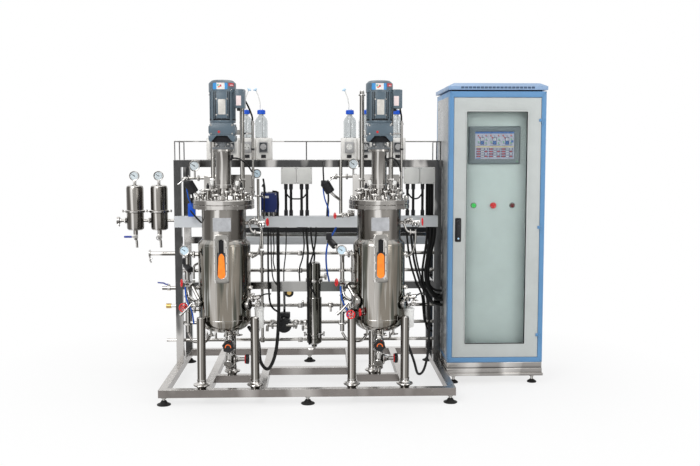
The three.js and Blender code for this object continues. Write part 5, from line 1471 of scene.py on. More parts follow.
def foot_and_stem(shape, x, y, profile, steps, stem, nut):
    """A levelling foot with its threaded stem and its nut."""
    shape.turned(profile, "black_rubber", (x, y, 0), steps=steps)
    shape.bar(x, y, (stem[0], stem[1]), 9)
    shape.bar(x, y, (nut[0], nut[1]), 15, edge=1, steps=6)


def levelling_feet():
    nodes = [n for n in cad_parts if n.startswith("skid_foot_")]
    shape = Shape()
    profile = [(40, 0), (42, 2), (42, 6), (39, 8), (30, 11), (20, 19), (16, 27), (13, 29)]
    for node in nodes:
        low, high = box_mm(node)
        foot_and_stem(shape, (low.x + high.x) / 2, (low.y + high.y) / 2, profile, 40, (28, 50), (38, 49.6))
    shape.finish("levelling_feet", *nodes)


def terminal_boxes():
    """Pairs of terminal boxes under the top rail, with sleeved cables down into the duct."""
    duct = box_mm("cable_duct_upper")[1].z
    for side, drops in (("left", (-151, -117, -46, -9)), ("right", (668, 707, 770))):
        shape, low, high = begin(f"junction_boxes_{side}")
        middle, y = (low.x + high.x) / 2, low.y + 26
        for span in ((low.x, middle - 1.2), (middle + 1.2, high.x)):
            shape.block(span, (low.y + 12, high.y), (low.z, high.z), "housing_grey", 3)
            shape.block(span, (low.y, low.y + 11), (low.z, high.z), "housing_grey", 3.5)
            for x, z in itertools.product((span[0] + 8, span[1] - 8), (low.z + 8, high.z - 8)):
                shape.bar(x, (low.y + 0.5, low.y - 0.2), z, 3.4, "pump_grey", 0.2, 14)
        for x in drops:
            for foot, top in ((low.z + 1, low.z - 38), (duct, duct + 40)):
                shape.bar(x, y, (foot, top), 13, "black_plastic", 3)
            shape.bar(x, y, (low.z - 30, duct + 30), 9, "black_rubber")
        shape.pipe([(drops[0], y - 8, low.z - 60), (drops[0] + 30, y - 16, low.z - 100),
                    (drops[-1] - 30, y - 16, low.z - 100), (drops[-1], y - 8, low.z - 60)], 5, "black_rubber", 40, 12)
        if side == "right":
            for x in (800, 814, 828, 841):
                shape.bar(x, 742, (1424, duct - 4), 7, "black_rubber")
        shape.finish(f"{side}_terminal_boxes", f"junction_boxes_{side}")


PIPE_PLANE, RAIL_PLANE, FILTER_PLANE = 800, 560, 754
PIPE_RUNS = ((838, -1085, 900), (720, -870, 900), (478, -975, 900), (360, -870, 900), (240, -975, 900))


def service_pipes():
    shape, y = Shape(), PIPE_PLANE
    for z, left, right in PIPE_RUNS:
        shape.bar((left, right), y, z, 12, "pipe_steel")
        for x in (-876, -60, 876):
            shape.block(around(x, 32), (y - 22, y), around(z, 32), "bright_steel", 3)
    shape.bar((-975, -941), y, 478, 17, "brass")
    for x, paint in ((-320, "black_plastic"), (300, "red_plastic")):
        shape.bar(x, y, (240, 838), 10, "pipe_steel")
        for z, *_ in PIPE_RUNS:
            shape.turned([(10, -20), (15, -17), (15, 17), (10, 20)], "pipe_steel", (x, y, z), steps=24, ring=True)
        ball_valve(shape, (x, y - 2, 600), UP, (-1, 0, 0), 15, paint)
    shape.bar((-1000, -870), y, 601, 13, "pipe_steel")
    ball_valve(shape, (-956, y, 601), RIGHT, (-1, 0, 0.1), 19, "blue_plastic", UP)
    shape.bar((-1085, -900), y, 838, 15, "pipe_steel")
    shape.bar((-1085, -1076), y, 838, 27, edge=1.5, steps=32)
    shape.pipe([(-1080, y - 4, 820), (-1080, y - 4, 792), (-1070, y - 4, 776)], 5, "bright_steel", 10)
    shape.rod((-1084, y - 10, 800), (-1062, y - 10, 806), 4)
    ball_valve(shape, (-780, y - 40, 640), UP, (-1, 0, 0.2), 14, "blue_plastic")
    shape.pipe([(-780, y - 40, 668), (-780, y - 40, 760), (-700, 700, 800), (-700, 560, 810)], 8, bend=26)
    for x, z in ((-250, 360), (-90, 360), (-20, 360), (150, 478), (420, 360), (640, 478)):
        shape.turned([(12, -18), (18, -15), (20, -4), (20, 4), (18, 15), (12, 18)], "bright_steel", (x, y, z), RIGHT,
                     24, ring=True)
        shape.rod((x, y, z - 12), (x, y - 8, z - 46), 7, edge=1, steps=6)
    for x in (-700, -640, 560):
        shape.pipe([(x, RAIL_PLANE, 330), (x, 640, 300), (x, y, 300), (x, y, 250)], 8, bend=26)
    shape.finish("rear_service_pipes", "service_pipes")


SOLENOID_LEADS = [  # radius, finish, bend, places from the solenoid's middle
    (5, "black_rubber", 30, [(-22, 0, 44), (-26, 0, 120), (-20, 120, 172)]),
    (6, "black_rubber", 40, [(6, 0, -20), (10, 40, -80), (2, 120, -150), (0, 130, -196)]),
    (4.5, "tube_blue", 40, [(-26, 0, -6), (-18, 6, -70), (12, 60, -150), (10, 120, -196)]),
]
FRAME_LEADS = [  # radius, finish, bend, sides, points
    (9, "pipe_steel", 30, 14, [(-326, 560, 1352), (-326, 560, 1080), (-300, 520, 1010), (-300, 500, 900)]),
    (5, "black_rubber", 20, 12, [(-300, 560, 1300), (-290, 560, 1320), (-286, 560, 1250), (-290, 560, 1090)]),
    (6, "black_rubber", 12, 12, [(-290, 680, 1254), (-290, 680, 1290), (-300, 680, 1350)]),
    (6, "black_rubber", 12, 12, [(-204, 680, 1100), (-200, 680, 1180), (-204, 680, 1262), (-240, 680, 1266)]),
]
FRAME_BLOCKS = [  # X, Y, Z, finish, edge
    ((-790, -742), (596, 640), (1102, 1190), "cap_blue", 5),
    ((-314, -207), (650, 702), (1127, 1256), "box_navy", 3), ((-310, -211), (645, 651), (1131, 1252), "box_navy", 2),
    ((-300, -262), (643.6, 645.4), (1222, 1236), "label_white", 0.2),
    ((-318, -198), (700, 728), (1097, 1262), "frame_steel", 2),
    # Painted shadow: the dark strip from 947 to 984 stands where the upper duct casts its shadow on the back.
    ((-700, 860), (1160, 1174), (947, 984), "dark_recess", 2), ((-700, 860), (1160, 1174), (920, 946), "tray_steel", 2),
    ((-700, 860), (1145, 1151), (862, 919), "duct_grey", 2),
]


def instruments():
    """Gauges, solenoid valves and the transmitter on the rear frame."""
    shape, low, high = begin("cable_duct_upper")
    y = RAIL_PLANE
    for x, gauge_x, gauge_z, height in ((-752, -735, 1436, 1356), (214, 296, 1448, 1366)):
        if x > 0:
            shape.pipe([(x, y, 1120), (x, y, 1476)], 11, bend=10)
        shape.pipe([(x - 56, y, height), (x + 122, y, height), (x + 150, y - 60, height - 40)], 9, bend=26)
        for dx in (-30, 40, 96):
            shape.clamp((x + dx, y, height), RIGHT, 19, wing=(0, -1, 0.4))
        ball_valve(shape, (x - 48, y, height - 4), RIGHT, (-0.6, 0, -0.5), 14, "bright_steel")
        shape.bar(gauge_x, y - 6, (height, gauge_z - 28), 6)
        shape.gauge((gauge_x, y - 24, gauge_z), (0.1, -1, 0), 35)
        spot = Vector((x - 8 if x < 0 else 124, y - 20, 1296))
        shape.rod(spot + Vector((-18, 0, 36)), spot + Vector((24, 0, -34)), 31, "solenoid_black", 6, 28)
        shape.block(*[(v + a, v + b) for v, a, b in zip(spot, (-40, -22, 6), (-6, 20, 46))], "solenoid_black", 5)
        shape.pipe([spot + Vector((18, 0, -26)), spot + Vector((50, 0, -56)), (x if x > 0 else x + 80, y, 1210)], 9,
                   "bright_steel", 14)
        for radius, paint, bend, places in SOLENOID_LEADS:
            shape.pipe([spot + Vector(p) for p in places], radius, paint, bend, 12)
    for radius, paint, bend, sides, points in FRAME_LEADS:
        shape.pipe(points, radius, paint, bend, sides)
    for row in FRAME_BLOCKS:
        shape.block(*row)
    shape.gauge((-332, y - 20, 1386), (0.5, -1, 0), 30, "dial_blue")
    shape.clamp((-326, y, 1240), UP, 21, wing=(1, -1, 0))
    diaphragm_valve(shape, (286, 690, 1124), RIGHT, (0, -1, 0.3), 14)
    shape.bar(-766, 610, (1188, 1226), 9, "black_rubber")
    shape.bolts((-304, -217), [645], (1137, 1246), FRONT, 4)
    for x in (-292, -262, -232):
        shape.bar(x, 676, (1128, 1098), 8)
    for left in range(-894, 860, 440):
        shape.block((left + 1, min(left + 439, high.x)), (low.y - 1, high.y), (high.z - 9, high.z + 1.5), "duct_grey",
                    1)
    for span in ((-300, -196), (-80, -10), (640, 740)):
        shape.block(span, (low.y + 4, high.y - 4), (low.z - 12, low.z), "black_plastic", 2)
    shape.turned([(28, 0), (30, 3), (30, 14), (26, 18), (20, 18), (18, 12)], "solenoid_black", (-132, 700, 581), FRONT,
                 36)
    shape.turned([(17, 0), (15, 5), (0, 6)], "brass", (-132, 688, 581), FRONT, 28)
    shape.finish("frame_instruments")


# --- filters
class BIOREACTOR_OT_filters(bpy.types.Operator):
    """Builds the two sterile filter housings and the outer one's drain lever"""
    bl_idname = "bioreactor.filters"
    bl_label = "Filter housings"

    def execute(self, context):
        for name, x, reach in (("outer", -1164, (-1286, -1083.5)), ("inner", -1003, (-1083.5, -900))):
            filter_housing(name, x, reach)
        drain_lever()
        return {"FINISHED"}


FILTER_PROFILE = [(15, 972), (15, 1000), (44, 1003), (54, 1010), (57, 1022), (57, 1118), (63, 1121), (66, 1123),
                  (66, 1135), (63, 1137), (57, 1140), (57, 1284), (53, 1298), (42, 1306), (12, 1308), (10, 1312),
                  (8, 1340)]


def filter_housing(name, x, reach):
    shape, y = Shape(), FILTER_PLANE
    shape.turned(FILTER_PROFILE, "shell_steel", (x, y, 0), steps=56)
    shape.clamp((x, y, 1129), UP, 68)
    for turn in (-1, 1):
        spot = Vector((x + 66 * turn, y - 8, 1129))
        shape.rod(spot, spot + Vector((20 * turn, 0, 3)), 4, edge=1, steps=12)
        shape.rod(spot + Vector((14 * turn, 0, -6)), spot + Vector((14 * turn, 0, 12)), 5.5, edge=2, steps=12)
    shape.gauge((x, y - 12, 1367), (0.06, -1, 0), 33)
    shape.block(around(x, 20), around(y, 24), (1308, 1336), "bright_steel", 3)
    shape.bar(x, y, (972, 938), 12, edge=1, steps=6)
    shape.block(around(x, 28), around(y, 28), (944, 974), "bright_steel", 4)
    shape.pipe([(x, y, 946), (x + 6, y, 930), (x + 8, y, 884)], 8, bend=8)
    shape.bar((reach[0], reach[1]), y, 1067, 10, "pipe_steel")
    shape.clamp((x - 66, y, 1067), RIGHT, 20, wing=(0, -1, 0.3))
    if name == "inner":
        hand_wheel(shape, (x - 2, y - 30, 952), FRONT, 18, "bright_steel")
        shape.bar(x - 2, (y, y - 30), 952, 5)
    else:
        shape.turned([(26, 0), (26, 5), (20, 10), (14, 12), (14, 30)], "bright_steel", (reach[0] + 0.2, y, 1067), RIGHT,
                     32)
        shape.clamp((reach[0] + 12, y, 1067), RIGHT, 27, wing=(0, -0.4, -1))
    shape.finish(f"{name}_filter", f"filter_housing_{name}")


def drain_lever():
    lever, low, high = begin("drain_lever")
    z = (low.z + high.z) / 2
    lever.bar(high.x - 8, (high.y, low.y), z, 7.9)
    lever.block((low.x + 30, high.x - 6), (low.y + 2, low.y + 6), around(z, 10), "bright_steel", 1)
    lever.block((low.x, low.x + 52), (low.y, low.y + 9), around(z, 14), "blue_plastic", 3.2)
    lever.finish("filter_drain_lever", "drain_lever", body="drain_lever")


# --- pumps, bottles and heat exchanger
class BIOREACTOR_OT_pumps(bpy.types.Operator):
    """Builds the feed pumps, the bottles on them, the heat exchanger and the circulation pump"""
    bl_idname = "bioreactor.pumps"
    bl_label = "Pumps and bottles"

    def execute(self, context):
        for side in SIDES:
            feed_pumps(side)
        for number in range(1, 6):
            feed_bottle(number, context.scene.bioreactor_bottle)
        heat_exchanger()
        circulation_pump()
        return {"FINISHED"}


def feed_pumps(side):
    shape, low, high = begin(f"pump_bank_{side}")
    front, face = low.y + 24, low.z + 88
    pitch = (high.x - low.x) / 4
    for i in range(4):
        x = low.x + pitch * (i + 0.5)
        shape.block((x - pitch / 2 + 1, x + pitch / 2 - 1), (front + 3, high.y), (low.z, high.z), "pump_white", 4)
        shape.block((x - pitch / 2 + 4, x + pitch / 2 - 4), (front, front + 5), (low.z + 5, high.z - 4), "pump_white",
                    2.5)
        shape.block(around(x, 60), (low.y + 4, front + 1), (low.z + 47, low.z + 122), "pump_grey", 4)
        shape.plate(shifted(rounded_box(50, 62, 6, 3), x, low.z + 85), (low.y, low.y + 5),
                    "window_dark" if i % 2 else "pump_grey", 1)
        shape.turned([(20, 0), (20, 2), (0, 2.4)], "pump_grey" if i % 2 else "housing_grey", (x, low.y + 0.4, face),
                     FRONT, 32)
        for roller in range(3):
            spot = Vector((x + 13 * math.sin(roller * 2.1), low.y, face + 13 * math.cos(roller * 2.1)))
            shape.rod(spot + FRONT * 2, spot - FRONT * 2, 4.5)
        shape.bar(x, (front + 1, front - 9), low.z + 24, 9, "black_plastic")
        shape.block(around(x, 32), (front - 4, front + 1), (low.z + 13, low.z + 35), "black_plastic", 1.5)
        for dx in (-22, 22):
            shape.pipe([(x + dx, front - 10, low.z + 122), (x + dx * 1.1, front - 4, low.z + 138),
                        (x + dx, front + 30, high.z + 2.5)], 2.5, "silicone", 12, 10)
    shape.finish(f"{side}_feed_pumps", f"pump_bank_{side}")


def feed_bottle(number, sizes):
    glass, low, high = begin(f"bottle_{number}")
    x, y, foot, top = (low.x + high.x) / 2, (low.y + high.y) / 2, low.z, high.z
    cap, r, wall = Shape(), high.x - x, sizes.wall
    outside = [(r * k - inset, foot + z) for k, inset, z in (
        (0, 0, 2), (0.72, 0, 1.5), (1, 5, 0), (1, 1, 4), (1, 0, 9), (1, 0, 108), (0.95, 0, 120), (0.8, 0, 133),
        (0.5, 0, 147), (0.4, 0, 154))] + [(r * 0.4, top - 8), (r * 0.44, top - 6)]
    inside = [(max(0, radius - wall), height + (wall * 1.2 if radius < r * 0.9 and height < foot + 20 else 0))
              for radius, height in reversed(outside)]
    glass.turned(outside + inside, "bottle_glass", (x, y, 0), steps=48)
    glass.finish(f"feed_bottle_{number}", f"bottle_{number}")
    cap.turned([(18.6, top - 28), (sizes.cap, top - 28), (sizes.cap, top - 3), (sizes.cap - 2, top), (0, top),
                (0, top - 4), (18.6, top - 4)], "cap_blue", (x, y, 0), steps=40, ring=True)
    for i in range(28):
        rib = Vector((x, y, top)) + polar(sizes.cap, i * 360 / 28)
        cap.rod(rib - UP * 27, rib - UP * 5, 0.9, "cap_blue", 0.2, 6)
    cap.bar(x - 7, y, (top - 1, top + 12), 3.4, "silicone")
    cap.bar(x + 8, y, (top - 1, top + 9), 3.4, "silicone")
    cap.rod((x + 6, y + 3, foot + 8), (x + 8, y, top - 2), 2.2, "silicone", 0.4, 12)
    if number != 4:
        lean = -1 if number in (2, 3, 5) else 1
        tip = Vector((x - 7 + 26 * lean, y - 6, 1936))
        cap.pipe([(x - 7, y, top + 8), (x - 7, y, top + 40), (x - 7 + 8 * lean, y - 3, top + 84), tip], 3, "silicone",
                 30, 12)
        cap.rod(tip, tip + Vector((5 * lean, 0, 8)), 5, "pale_blue")
        cap.turned([(12, 0), (14, 2), (14, 6), (12, 8)], "pale_blue", tip + Vector((5 * lean, 0, 7)),
                   (0.5 * lean, -0.3, 0.9), 28)
    cap.finish(f"bottle_cap_{number}")


EXCHANGER_PROFILE = [(17, 0), (18, 1), (18, 12), (30, 18), (48, 30), (50, 36), (50, 76), (58, 80), (58, 89), (50, 93),
                     (50, 330), (49, 334), (43, 336)]


def heat_exchanger():
    shape, low, high = begin("heat_exchanger")
    x, y, foot = (low.x + high.x) / 2, (low.y + high.y) / 2, low.z
    shape.turned([(r, foot + z) for r, z in EXCHANGER_PROFILE] + [(43, 774), (39, 790), (28, 798), (0, 800)],
                 "exchanger_green", (x, y, 0), steps=64)
    shape.clamp((x, y, foot + 84.5), UP, 57.5, thick=18)
    shape.tube_ring((x, y, foot + 333), UP, 49, 2, steps=56, sides=8)
    shape.turned([(42, 666), (57, 668), (57, 680), (42, 682)], "bright_steel", (x, y, 0), steps=48, ring=True)
    for turn in range(8):
        spot = Vector((x, y, 658)) + polar(51, turn * 45)
        shape.rod(spot, spot + UP * 32, 4.5, edge=1, steps=6)
    for turn in range(6):
        spot = Vector((x, y, foot + 84)) + polar(64, turn * 60 + 30)
        shape.rod(spot - UP * 14, spot + UP * 14, 5)
        shape.bolt(spot + UP * 10, UP, 8)
    for z, way in ((foot + 130, -1), (700, 1), (foot + 290, -1)):
        shape.bar((x + 40 * way, x + 84 * way), y, z, 12, "pipe_steel")
        shape.clamp((x + 76 * way, y, z), RIGHT, 24, wing=(0, -1, 0.2))
    shape.block(around(x, 48), (y + 40, high.y + 20), (590, 640), "bright_steel", 3)
    shape.pipe([(x, y - 20, foot + 6), (x, y - 34, foot - 10), (x - 40, y - 30, foot - 12)], 8, bend=10)
    shape.finish("condensate_cooler", "heat_exchanger")


def circulation_pump():
    shape, low, high = begin("circulation_pump")
    x, z, line = low.x + 52, low.z + 52, low.y + 12
    shape.turned([(40, 0), (44, 4), (44, 88), (40, 92)], "black_plastic", (x, high.y - 10, z), FRONT, 40)
    for i in range(18):
        shape.block((-2, 2), (low.y + 30, high.y - 16), (42, 47), "black_plastic", 0.8,
                    Matrix.Translation((x, 0, z)) @ Matrix.Rotation(math.tau * i / 18, 4, "Y"))
    shape.turned([(50, 0), (52, 3), (52, 12), (44, 17), (28, 19), (28, 22)], "black_plastic", (x, low.y + 24, z), FRONT,
                 40)
    for i in range(6):
        shape.bolt(on_face((x, low.y + 13, z), 46, 60 * i + 30), FRONT, 4.5, head=3)
    shape.block((x - 26, x + 40), (low.y + 34, low.y + 96), (z + 40, z + 78), "black_plastic", 5)
    shape.bar((x + 14, high.x), line, z, 12, "pipe_steel")
    for reach in (66, 84):
        shape.clamp((x + reach, line, z), RIGHT, 18, thick=10, wing=(0, -1, 0.3))
    shape.pipe([(x - 48, line, z), (x - 84, line, z), (x - 110, line + 2, z), (x - 112, line + 2, z - 40)], 10, bend=14)
    shape.clamp((x - 76, line, z), RIGHT, 20, wing=(0, -1, 0.3))
    shape.block(around(x, 16), (high.y - 34, high.y - 26), (z + 30, high.z), "frame_steel", 1)
    shape.finish("jacket_water_pump", "circulation_pump")


# --- control cabinet
class BIOREACTOR_OT_cabinet(bpy.types.Operator):
    """Builds the control cabinet on its plinth, with its roof, door, window, handle and controls"""
    bl_idname = "bioreactor.cabinet"
    bl_label = "Control cabinet"

    def execute(self, context):
        sizes = context.scene.bioreactor_cabinet
        cabinet_shell(sizes)
        cabinet_roof(sizes)
        cabinet_base()
        cabinet_door(sizes)
        door_handle()
        control_panel()
        stop_button()
        return {"FINISHED"}


def rectangle(x, z, corner=0.0, inset=0.0):
    """A rectangle in X and Z, pulled in by the inset, with rounded corners, as a plate's outline."""
    x, z = (x[0] + inset, x[1] - inset), (z[0] + inset, z[1] - inset)
    return shifted(rounded_box(x[1] - x[0], z[1] - z[0], corner or 0.01, 3 if corner else 1), sum(x) / 2, sum(z) / 2)


DOOR_FRONT, DOOR_RIGHT, HINGE_X, HINGE_Y = 455, 1504, 1512, 450


def hinges(shape, start, end):
    """The hinges' barrels and leaves, between two heights over each hinge's middle."""
    low, high = box_mm("cabinet_door")
    for z in (low.z + 138, (low.z + high.z) / 2, high.z - 154):
        reach = z + start, z + end
        shape.bar(HINGE_X, HINGE_Y, (reach[0], reach[1]), 6, "cabinet_blue")
        shape.block((HINGE_X - 3, HINGE_X + 5), (HINGE_Y, HINGE_Y + 12), reach, "cabinet_blue")
        if end > 0:
            shape.block((DOOR_RIGHT - 14, HINGE_X), (HINGE_Y - 1, HINGE_Y + 6), reach, "cabinet_blue")


def cabinet_shell(sizes):
    shape, low, high = begin("cabinet_body")
    left, front, rim = low.x + 8, low.y + 9, sizes.rim
    door = box_mm("cabinet_door")
    shape.plate(rectangle((left, high.x), (low.z, high.z)), (front, front + 32), "cabinet_blue", rim,
                rectangle((door[0].x - 1.5, DOOR_RIGHT + 1.5), (door[0].z - 1.5, door[1].z + 1.5)))
    for x in ((left, left + 12), (high.x - 12, high.x)):
        shape.block(x, (front + 30, high.y), (low.z, high.z), "cabinet_blue", rim)
    for z in ((low.z, low.z + 12), (high.z - 12, high.z)):
        shape.block((left + 4, high.x - 4), (front + 28, high.y - 4), z, "cabinet_blue")
    shape.block((left + 4, high.x - 4), (high.y - 12, high.y), (low.z + 4, high.z - 4), "cabinet_blue")
    for x, way in ((left, -1), (high.x, 1)):
        shape.block(sorted((x + way * 1.6, x - way * 4)), (front + 50, high.y - 50), (low.z + 30, high.z - 34),
                    "cabinet_side", 1.5)
        for y, z in itertools.product((front + 86, high.y - 86), (low.z + 90, (low.z + high.z) / 2, high.z - 90)):
            shape.turned([(9, 0), (9, 1), (0, 1.6)], "bright_steel", (x + way * 1.6, y, z), RIGHT * way, 24)
    shape.block((left + 30, high.x - 30), (high.y - 4, high.y + 2), (low.z + 30, high.z - 30), "cabinet_side", 1.5)
    louvres, pitch = 12, 18
    for z in range(1500, 1500 + louvres * pitch, pitch):
        shape.block((left + 200, high.x - 200), (high.y + 1, high.y + 4), (z, z + 8), "vent_black")
    hinges(shape, -20, -0.4)
    duct = box_mm("cable_duct_upper")
    y, z = (duct[0].y + duct[1].y) / 2, box_mm("cabinet_hose")[0].z + 18
    shape.bar((left - 7.6, left + 2), y, z, 27, "black_plastic", 2, 32)
    shape.finish("cabinet_shell", "cabinet_body")


def cabinet_roof(sizes):
    shape, low, high = begin("cabinet_roof")
    eaves, hip = low.z + 34, bmesh.new()
    middle, size = (low + high) / 2, high - low
    shape.block((low.x + 31, high.x - 31), (low.y + 31, high.y - 31), (low.z, low.z + 10), "vent_black", 0.5)
    shape.block((low.x, high.x), (low.y, high.y), (low.z + 9, eaves), "roof_blue", 2)
    bmesh.ops.create_cube(hip, size=1)
    bmesh.ops.scale(hip, vec=(size.x - 1, size.y - 1, high.z - eaves + 1), verts=hip.verts)
    bmesh.ops.scale(hip, vec=(1 - 88 / size.x, 1 - 88 / size.y, 1), verts=[v for v in hip.verts if v.co.z > 0])
    bmesh.ops.translate(hip, vec=(middle.x, middle.y, (high.z + eaves - 1) / 2), verts=hip.verts)
    soften(hip, hip.edges[:], 1.2)
    shape.take(hip, "roof_blue")
    start, end = 980, 1460
    pitch = (end - start) / sizes.vents
    for (y, way), i in itertools.product(((low.y, -1), (high.y, 1)), range(sizes.vents)):
        x = start + pitch * i
        shape.plate(rectangle((x + 2, x + pitch - 2), (low.z + 17, low.z + 30), 3),
                    sorted((y + 0.3 * way, y - 2 * way)), "roof_slot", 0.2)
    shape.finish("cabinet_roof_cap", "cabinet_roof")


def cabinet_base():
    shape, low, high = begin("cabinet_base")
    for inset, foot, top, paint, edge in ((0, 57, 75, "plinth_steel", 2), (6, 74, 108, "plinth_steel", 3),
                                          (9, 106, 124, "vent_black", 1), (8, 111, high.z - 2, "plinth_steel", 3),
                                          (14, high.z - 3, high.z, "vent_black", 0.5)):
        shape.block((low.x + inset, high.x - inset), (low.y + inset, high.y - inset), (foot, top), paint, edge)
    profile = [(30, 0), (31, 2), (31, 6), (28, 10), (16, 18), (12, 21)]
    for x, y in itertools.product((low.x + 60, high.x - 60), (low.y + 60, high.y - 60)):
        foot_and_stem(shape, x, y, profile, 36, (20, 58), (40, 56))
    shape.finish("cabinet_plinth", "cabinet_base")


def cabinet_door(sizes):
    shape, low, high = begin("cabinet_door")
    front, x, z = DOOR_FRONT, (low.x, DOOR_RIGHT), (low.z, high.z)
    window = (low.x + 82, DOOR_RIGHT - 88), (low.z + 89, high.z - 90)
    for depth, paint, edge, outline, hole in (
            ((0, 24), "cabinet_white", sizes.rim, (x, z, 3), (*window, 5)),
            ((-2.4, 1), "cabinet_white", 1.2, (*window, 9, -9), (*window, 5)),
            ((-1.6, 17), "vent_black", 0.6, (*window, 5, -0.4), (*window, 4, 2.5)),
            ((23, 25.5), "vent_black", 0.5, (x, z, 3, 1.5), (x, z, 3, 14))):
        shape.plate(rectangle(*outline), (front + depth[0], front + depth[1]), paint, edge, rectangle(*hole))
    shape.plate(rectangle((low.x + 12, low.x + 52), (944, 1100), 8), (front - 4, front + 1), "black_plastic", 1.2)
    escutcheon = (low.x + 17, low.x + 47), (948, 1095)
    shape.plate(rectangle(*escutcheon, 6), (front - 4.1, front - 3), "vent_black", 0.05, rectangle(*escutcheon, 5, 2))
    hinges(shape, 0, 20)
    shape.finish("cabinet_door_leaf", "cabinet_door", body="cabinet_door")
    pane, low, high = begin("cabinet_door_glass")
    pane.plate(rectangle((low.x, high.x), (low.z, high.z), 4), (low.y, high.y), "door_glass", 0.4)
    pane.finish("cabinet_door_pane", "cabinet_door_glass", body="cabinet_door")


def door_handle():
    shape, low, high = begin("cabinet_door_handle")
    shape.plate(rectangle((low.x, high.x), (low.z, high.z), 12.9), (low.y + 3, high.y), "black_plastic", 1)
    shape.plate(rectangle((low.x + 3, high.x - 3), (low.z + 3, high.z - 34), 9), (low.y, low.y + 6), "black_plastic",
                2.5)
    x, z = (low.x + high.x) / 2, high.z - 14
    shape.turned([(9, 0), (9, 2), (7.4, 3)], "black_plastic", (x, low.y + 3.2, z), FRONT, 32)
    shape.block(around(x, 2), (low.y + 0.1, low.y + 1), around(z, 8), "vent_black", 0.1)
    shape.turned([(6, 0), (6, 1), (0, 1.3)], "pale_blue", (x, low.y + 1, low.z + 17), FRONT, 28)
    shape.finish("cabinet_handle", "cabinet_door_handle", body="door_handle")


def screen_fields():
    """The screen's plain fields: left, right, foot and top in hundredths of it, and the finish's last word."""
    yield 0, 100, 0, 100, "back"
    yield 0, 100, 93, 100, "blue"
    for x in (4, 36, 68):
        yield x + 9, x + 19, 52, 80, "dark"
        yield x + 10.5, x + 17.5, 54, 66, "blue"
        yield x + 10.5, x + 17.5, 67, 78, "pale"
        yield x + 13.5, x + 14.5, 60, 88, "dark"
        for dx, z in ((2, 84), (6, 76), (22, 84), (23, 70), (3, 60), (22, 56)):
            yield x + dx, x + dx + 3.6, z, z + 4.5, "red" if (dx + z) % 3 else "green"
            yield x + dx + 0.5, x + dx + 5.5, z - 3.4, z - 1.6, "dark"
        yield x + 1, x + 27, 48, 49.2, "dark"
        for row in range(4):
            z = 33 - row * 9
            yield x - 1, x + 29, z, z + 6.6, "dark"
            for left, right, paint in ((1, 9, "red"), (11, 19, "pale"), (21, 27, "red" if row % 2 else "pale")):
                yield x + left, x + right, z + 1.6, z + 5, paint
    yield 1, 99, 43, 46, "yellow"
    yield 2, 14, 0.8, 3.2, "blue"
    yield 92, 98, 60, 68, "blue"


def control_panel():
    shape, low, high = begin("control_panel")
    front, x, z, lamps = low.y + 14, 1216, 1568, 1177

    def about_screen(width, height, corner):
        return rectangle(around(x, width), around(z, height), corner)

    shape.block((low.x, high.x), (front, high.y), (low.z, high.z), "panel_paint", 1.2)
    shape.plate(about_screen(336, 246, 8), (low.y + 4, front + 1), "screen_rim", 2)
    shape.plate(about_screen(328, 238, 7), (low.y, low.y + 6), "screen_rim", 2.5, about_screen(254, 178, 3))
    shape.plate(about_screen(256, 180, 3), (low.y + 3, low.y + 6), "window_dark", 0.2)
    for i, (left, right, foot, top, paint) in enumerate(screen_fields()):
        span = ((x - 126 + 2.52 * left, x - 126 + 2.52 * right), (z - 88 + 1.76 * foot, z - 88 + 1.76 * top))
        shape.plate(rectangle(*span), (low.y + 2.6 - 0.012 * i, low.y + 3.2), f"screen_{paint}", 0.0)
    shape.bar(x + 146, (low.y + 1, low.y - 0.4), z - 104, 3, "lamp_green", 0.2, 16)
    for lamp, paint in ((1086, "lamp_green"), (1337, "dark_red")):
        shape.turned([(19, 0), (19, 3), (17, 5), (14.6, 5), (14.6, 3)], "bright_steel", (lamp, front, lamps), FRONT)
        shape.turned([(14, 0), (14, 8), (11, 11), (0, 12.5)], paint, (lamp, front - 2, lamps), FRONT)
    shape.turned([(12, 0), (19, 0), (19, 4), (17, 6), (12, 6)], "pump_grey", (1211, front, lamps), FRONT, ring=True)
    shape.bolts((low.x + 40, high.x - 40), [front], (low.z + 140, 800, 1350, high.z - 60), FRONT, 6, head=3)
    shape.finish("control_panel_plate", "control_panel")


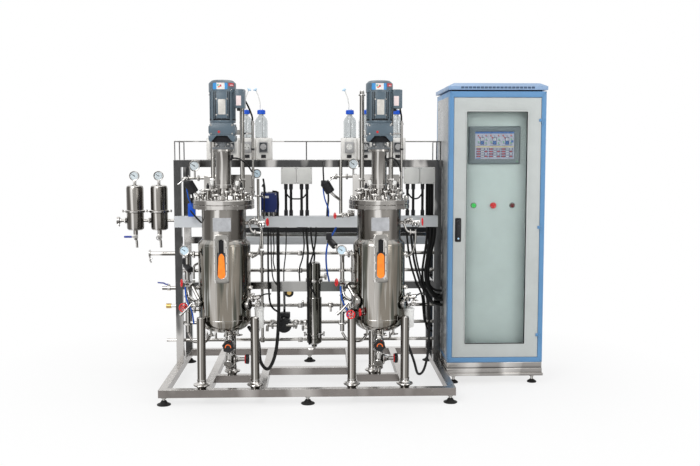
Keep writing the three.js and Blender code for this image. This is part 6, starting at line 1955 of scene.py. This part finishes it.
def stop_button():
    shape, low, high = begin("emergency_stop")
    x, z = (low.x + high.x) / 2, (low.z + high.z) / 2
    shape.turned([(17, 0), (19.4, 2), (20, 5), (19.4, 8), (17, 11.4), (11, 13.4), (0, 14)], "red_plastic",
                 (x, low.y + 14, z), FRONT, 48)
    shape.bar(x, (low.y + 13, high.y), z, 11, "black_plastic")
    for i in range(3):
        turn = math.tau * i / 3
        spot = Vector((x + 11 * math.sin(turn), low.y + 1.1, z + 11 * math.cos(turn)))
        shape.block((-3.5, 3.5), (-0.7, 0.7), (-0.8, 0.8), "label_white", 0.2,
                    Matrix.Translation(spot) @ Matrix.Rotation(turn, 4, "Y"))
    shape.finish("stop_button", "emergency_stop", body="emergency_stop")


# --- the add-on
STEPS = (BIOREACTOR_OT_stage, BIOREACTOR_OT_carried, BIOREACTOR_OT_cords, BIOREACTOR_OT_vessels, BIOREACTOR_OT_lids,
         BIOREACTOR_OT_drives, BIOREACTOR_OT_bottom_valves, BIOREACTOR_OT_side_valves, BIOREACTOR_OT_frame_fittings,
         BIOREACTOR_OT_filters, BIOREACTOR_OT_pumps, BIOREACTOR_OT_cabinet)
SETTINGS = {"bioreactor_stage": StageSettings, "bioreactor_vessel": VesselSettings, "bioreactor_drive": DriveSettings,
            "bioreactor_bottle": BottleSettings, "bioreactor_cabinet": CabinetSettings}


class BIOREACTOR_PT_panel(bpy.types.Panel):
    """Lists the settings and the steps that build the bioreactor"""
    bl_label = "Bioreactor"
    bl_idname = "BIOREACTOR_PT_panel"
    bl_space_type = "VIEW_3D"
    bl_region_type = "UI"
    bl_category = "Bioreactor"

    def draw(self, context):
        for name in SETTINGS:
            group = getattr(context.scene, name)
            box = self.layout.box()
            for key in group.__annotations__:
                box.prop(group, key)
        for step in STEPS:
            self.layout.operator(step.bl_idname)


def register():
    for group in (*SETTINGS.values(), *STEPS, BIOREACTOR_PT_panel):
        bpy.utils.register_class(group)
    for name, group in SETTINGS.items():
        setattr(bpy.types.Scene, name, bpy.props.PointerProperty(type=group))


def unregister():
    for name in SETTINGS:
        delattr(bpy.types.Scene, name)
    for group in reversed((*SETTINGS.values(), *STEPS, BIOREACTOR_PT_panel)):
        bpy.utils.unregister_class(group)


def main():
    register()
    for step in STEPS:
        group, name = step.bl_idname.split(".")
        getattr(getattr(bpy.ops, group), name)()


if __name__ == "__main__":
    main()
